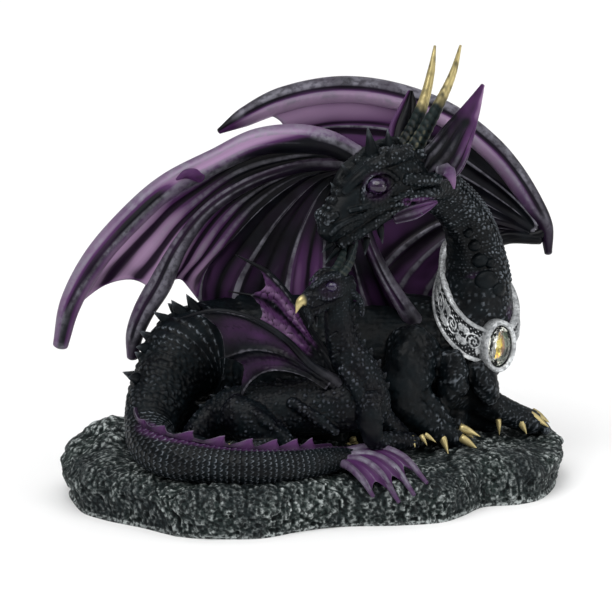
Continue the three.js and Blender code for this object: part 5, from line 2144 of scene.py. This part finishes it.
@dataclass
class Claws:
    """Gold claws of the mother and her hatchling."""

    bend: float = 0.25
    sides: int = 12
    flat: float = 0.85
    spread: float = 0.8
    radius: float = 1.6
    drop: float = 0.45

    def fan(self, row: Row, paw: Limb, long: float) -> None:
        """Adds three claws in front of a hidden paw, as the solids have them.

        Args:
            row: the row of claws.
            paw: the leg.
            long: how far they reach beyond it.
        """
        centre, along, side, top, girth = paw.axes(np.array(1.0))
        for turn in np.linspace(-self.spread, self.spread, 3):
            way = along * math.cos(turn) + side * math.sin(turn)
            root = centre + way * girth[0] * 0.95 + top * 0.4
            tip = centre + way * (long + girth[0] * 0.85) - top * (self.drop * girth[0] + 0.5)
            row.spike(root, tip, -top, self.radius, self.radius * self.flat)

    def build(self) -> None:
        """Makes the mother's and the hatchling's claws."""
        for name, talons, part in (("mother_claws", MOTHER_TALONS, Part.MOTHER),
                                   ("hatchling_claws", CUB_TALONS, Part.CUB)):
            row = Row()
            for root, tip, radius in talons:
                row.spike(root, tip, -np.array(UP), radius, radius * self.flat)
            if part is Part.MOTHER:
                for paw, long in ((BACK_FOOT, 5), (BACK_SHOULDER, 5), (FOOT, 4)):
                    self.fan(row, paw, long)
            row.lay(name, Ornament.SPIKE, Finish.GOLD, part, self.bend, self.sides, gleam=1.0)


CUB_LIMBS = (CUB_BODY, CUB_NECK, CUB_HEAD, CUB_JAW, CUB_ARM, CUB_FAR_ARM, CUB_THIGH, CUB_FOOT)
# Brow, cheek, chin, shoulder and leg folds
CUB_FEATURES = (
    Limb(((2, -36.5, 92.5, 1.0), (7, -35.8, 96, 1.3), (13, -33, 96.5, 1.2))),
    Limb(((4, -37, 89, 0.7), (9, -36, 88.2, 0.9), (14, -33, 89.5, 0.8))),
    Limb(((2, -27.5, 93.5, 1.0), (7, -24.5, 97, 1.3), (12, -23, 96.5, 1.2))),
    Limb(((0, -35.5, 84, 1.2), (1.5, -35.5, 80.5, 1.5), (2.5, -34.5, 78, 0.8))),
    Limb(((17, -30, 90, 1.6), (21, -29, 86, 1.5), (22, -28, 80, 1.1))),
    Limb(((14, -33, 60, 2.0), (20, -35, 52, 3.0), (24, -37, 42, 2.6))),
    Limb(((-26, -31, 45, 2.0), (-17, -36, 40, 2.6), (-10, -36, 34, 1.6))),
    Limb(((-6, -32, 46, 2.0), (4, -34, 40, 2.4), (12, -34, 34, 1.6))),
)
CUB_EYES = ((9.6, -34.6, 92.6), (4.4, -27.6, 93.0))
# Root and way of the spikes on chin and neck
CUB_SPIKES = (((1.6, -35.2, 80.5), (-0.1, -0.4, -1)), ((4, -33.5, 80.5), (0.1, -0.3, -1)),
              ((12, -33.5, 74), (-0.9, -0.5, -0.5)), ((13, -34, 66), (-0.9, -0.6, -0.4)))


@dataclass
class Hatchling:
    """The hatchling: scaly body, beaked head, two small wings."""

    voxel: float = 0.56
    pebble: float = 1.9
    eye_sizes: Triple = (2.7, 1.9, 2.1)

    def body(self) -> None:
        """Makes body, neck, head and legs as one skin."""
        shells = tubes(CUB_LIMBS, 0.9, 32) + tubes(CUB_FEATURES, 0.6, 16)
        shell = sculpted(shells, self.voxel, 4)
        dome, chance = cells(shell.points, self.pebble, 41)
        fine, _ = cells(shell.points, self.pebble * 0.6, 43)
        head = ease(shell.points[:, 2], 72, 80)
        smooth = near_to(shell.points, (25, -38, 37), (5, 6, 9.0), 0.7, 1.2)
        heights = (0.42 * dome * (0.6 + 0.8 * chance) * (1 - head) + 0.34 * fine * head) * smooth
        raise_skin(shell, heights - 0.2)
        mark_proud(shell, 0.22, 4)
        dim_paint(shell, 0.72, 0.3)
        shell.paint(lilac=0.13 * near_to(shell.points, (9, -34.5, 91.5), 1.0, 7.0, 3.0))
        place("hatchling_body", shell, Finish.CUB_SCALES, Part.CUB)

    def wing(self, name: str, fingers: Sequence[Finger], billow: float, strength: float,
             round_scales: float) -> None:
        """Makes a small wing.

        Args:
            name: the piece's name.
            fingers: its fingers, from the leading one.
            billow: how far its skin sags.
            strength: how purple it is.
            round_scales: height of the round scales on its skin.
        """
        shell = web_shell(fingers, 22, 90, 1.2, 2.6, billow,
                          lambda lay: 0.12 * np.sin(lay.across * 19) * ease(lay.down, 0.1, 0.4))
        raise_skin(shell, round_scales * cells(shell.points, 2.6, 51)[0])
        hollow = np.sin(math.pi * shell.marks["across"]) * ease(shell.marks["down"], 0.1, 0.6)
        shell.paint(lilac=0.03 + 0.1 * drift(shell.points, 6.0, 53) + strength * hollow)
        shell.paint(lilac=np.clip(shell.marks["lilac"], 0, 1))
        bones = [tube(finger.bone(), 0.6, 20, grow=-0.5) for finger in fingers[:2]]
        for bone in bones:
            bone.paint(lilac=0.04)
        shells = [shell] + bones
        for each in shells:
            mark_proud(each, 0.34, 6)
            dim_paint(each, 0.5, 0.3)
        place(name, joined(shells), Finish.MEMBRANE, Part.CUB)

    def trim(self) -> None:
        """Makes beak, eyes, horns and spikes."""
        beak = tube(CUB_BEAK, 0.4, 24, grow=-0.45)
        beak.paint(gleam=ease(beak.marks["place"], 0.2, 0.6))
        horns = [tube(limb, 0.5, 20, relief=lambda s: 0.12 * np.sin(s.along * 2.4))
                 for limb in (CUB_NEAR_HORN, CUB_FAR_HORN)]
        for horn in horns:
            horn.paint(gleam=0.0)
        shells = [beak] + horns
        for each in shells:
            mark_proud(each, 0.2, 4)
            dim_paint(each, 0.35, 0.2)
        place("hatchling_beak_and_horns", joined(shells), Finish.GOLD, Part.CUB)
        eyes = [ball(spot, self.eye_sizes, math.radians(-25)) for spot in CUB_EYES]
        for eye in eyes:
            # Painted glints: proud is lifted at random, so patches of the pale brush colour show on the
            # eye.
            eye.paint(proud=0.5 + 0.3 * drift(eye.points, 0.9, 4))
        place("hatchling_eyes", joined(eyes), Finish.EYE, Part.CUB)
        row = Row()
        row.ridge(CUB_BODY, (0.14, 0.72), 12, lambda share: (1.4, 1.0, 3.0 - 0.8 * share))
        row.ridge(CUB_NECK, (0.12, 0.96), 11, lambda share: (1.5, 1.0, 2.8))
        for root, way in CUB_SPIKES:
            row.put(root, way, (-1, 0, 0), (0.9, 0.8, 4.0))
        row.lay("hatchling_spikes", Ornament.SPIKE, Finish.CUB_SCALES, Part.CUB, 0.3)

    def build(self) -> None:
        """Makes all of the hatchling but its claws."""
        self.body()
        self.wing("hatchling_near_wing", CUB_NEAR_WING, 1.0, 0.13, 0.2)
        self.wing("hatchling_far_wing", CUB_FAR_WING, -1.0, 0.58, 0.55)
        self.trim()


# Share of the way out and share of the height, from the middle of the top down to the floor
ROCK_PROFILE = ((0, 1), (0.3, 1), (0.56, 1), (0.78, 1), (0.93, 0.95), (0.985, 0.8), (1, 0.66),
                (0.99, 0.3), (0.985, 0))


@dataclass
class Rock:
    """The rock: lumpy, pitted and chiselled, flat below."""

    around: int = 600
    rings: int = 81
    walls: int = 35
    lump: float = 1.3
    crack: float = 0.5
    chisel: float = 0.75
    pit: float = 0.8

    def top(self, x: Array, y: Array) -> Array:
        """Height of the rock's top, as in the solid.

        Args:
            x: millimetres to the right.
            y: millimetres back.

        Returns:
            The height there.
        """
        mound = ROCK_MOUND * np.exp(-(((x + 12) / 36) ** 4) - ((y + 18) / 17) ** 4)
        lobe = ROCK_LOBE * np.exp(-(((x + 78) / 15) ** 2) - ((y - 8) / 20) ** 2)
        return ROCK_TOP + mound + lobe + 0.9 * np.sin(x / 9 + y / 13) + 0.6 * np.cos(y / 7 - x / 17)

    def relief(self, spot: Array) -> Array:
        """Lumps, cracks, chisel marks and pits.

        Args:
            spot: where to look.

        Returns:
            Heights in millimetres.
        """
        tall = spot * np.array([1.0, 1.0, 0.45])
        lobes = drift(tall, 19.0, 65)
        cracks = 1 - np.abs(drift(tall + 2.0 * drift(spot, 6.0, 3)[:, None], 9.0, 66))
        height = self.lump * (1.5 * lobes + 0.9 * drift(spot, 8.0, 67))
        height -= self.crack * ease(cracks, 0.86, 1.0)
        height += self.chisel * (rough(spot, 3.6, 3, 68) + 0.5 * np.abs(drift(spot, 1.7, 69)))
        height -= self.pit * ease(drift(spot, 2.6, 71), 0.45, 0.7)
        return height * ease(spot[:, 2], -0.5, 2.0) - 0.3

    def build(self) -> None:
        """Makes the rock from rings that run out over its top and down its side."""
        marks = np.concatenate([np.linspace(0.02, 0.62, self.rings), np.linspace(0.625, 1, self.walls)])
        rows = spline([(o, r, 0.0) for o, r in ROCK_PROFILE], marks)
        turn = np.arange(self.around) / self.around
        edge = spline([(x, y, 0.0) for x, y in ROCK_PLAN], turn, closed=True)
        x, y = np.outer(rows[:, 0], edge[:, 0]), np.outer(rows[:, 0], edge[:, 1])
        z = np.clip(rows[:, 1:2], 0, 1) * self.top(x, y)
        shell = capped(np.stack([x, y, z], -1), np.array([[0, 0, self.top(0.0, 0.0)], [0, 0, 0]]))
        spot = shell.points
        height = self.relief(spot)
        spot[:, 0] += 3.2 * ease(spot[:, 0], -86, -98) * ease(spot[:, 2], 15, 2)
        spot[:, 0] += 2.6 * ease(spot[:, 0], 92, 102) * ease(spot[:, 2], 9, 17)
        height[-1] = 0.0
        raise_skin(shell, height)
        shell.points[:, 2] = np.maximum(shell.points[:, 2], 0.0)
        shell.points[-2 - self.around:-2, 2] = 0.0
        shell.points[-1, 2] = 0.0
        mark_proud(shell, 0.5, 5)
        place("rock", shell, Finish.ROCK, Part.ROCK)


# Camera, floor and light

class Light(Enum):
    """Kinds of light."""

    SUN = "SUN"
    SQUARE = "AREA"


@dataclass(frozen=True)
class Studio:
    """A pale floor, soft lights and the camera at the photograph's angle."""

    target: Triple = (0.0, -5.0, 81.0)
    elevation: float = 12.0
    distance: float = 1000.0
    lens: float = 147.06
    half_floor: float = 4.0

    def camera(self) -> None:
        """Makes the camera."""
        rise = math.radians(self.elevation)
        back = Vector((0.0, -math.cos(rise), math.sin(rise)))
        data = bpy.data.cameras.new("camera")
        data.lens, data.sensor_width, data.sensor_fit = self.lens, 36.0, "HORIZONTAL"
        data.clip_start, data.clip_end = 0.05, 20.0
        camera = linked("camera", data)
        camera.location = Vector(self.target) * MM + back * self.distance * MM
        camera.rotation_mode = "QUATERNION"
        camera.rotation_quaternion = (-back).to_track_quat("-Z", "Y")
        bpy.context.scene.camera = camera

    def floor(self) -> None:
        """Makes the floor."""
        mesh = bpy.data.meshes.new("floor")
        corners = [(x * self.half_floor, y * self.half_floor, 0) for x, y in
                   ((-1, -1), (1, -1), (1, 1), (-1, 1))]
        mesh.from_pydata(corners, [], [(0, 1, 2, 3)])
        mesh.materials.append(finish_material(Finish.PAPER))
        linked("floor", mesh)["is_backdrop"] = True

    def lamp(self, name: str, kind: Light, spot: Triple, size: float, power: float) -> None:
        """Makes a soft light.

        Args:
            name: its name.
            kind: a sun from far off or a square lamp aimed at the statue.
            spot: where it stands, in metres.
            size: a sun's spread in degrees or a lamp's side in metres.
            power: its strength.
        """
        data = bpy.data.lights.new(name, kind.value)
        data.energy = power
        lamp = linked(name, data)
        lamp.location = Vector(spot)
        aim = -lamp.location
        if kind is Light.SUN:
            data.angle = math.radians(size)
        else:
            data.shape, data.size = "SQUARE", size
            aim += Vector(self.target) * MM
        lamp.rotation_mode = "QUATERNION"
        lamp.rotation_quaternion = aim.to_track_quat("-Z", "Y")

    def build(self) -> None:
        """Makes camera, floor, lights and surroundings."""
        self.camera()
        self.floor()
        self.lamp("key", Light.SUN, (-0.35, -0.55, 0.9), 50.0, 1.9)
        self.lamp("sky", Light.SUN, (0.25, 0.1, 1.0), 90.0, 1.2)
        self.lamp("fill", Light.SQUARE, (0.8, -0.6, 0.35), 0.5, 2.5)
        world = bpy.data.worlds.new("surroundings")
        world.use_nodes = True
        fill(world.node_tree.nodes["Background"], {"Color": linear("#ffffff"), "Strength": 0.3})
        bpy.context.scene.world = world
        bpy.context.scene.view_settings.view_transform = "Standard"


def main() -> None:
    """Builds the statue's looks, one sub-assembly after another."""
    logging.basicConfig(level=logging.INFO, format="%(name)s %(message)s")
    solid_box = [corner.copy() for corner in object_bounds()]
    Studio().build()
    for part in (Rock(), NearWing(), FarWing(), MotherTorso(), MotherNeck(), MotherTail(), MotherHead(),
                 Collar(), Claws(), Hatchling()):
        part.build()
        LOG.info("%s done", type(part).__name__)


if __name__ == "__main__":
    main()
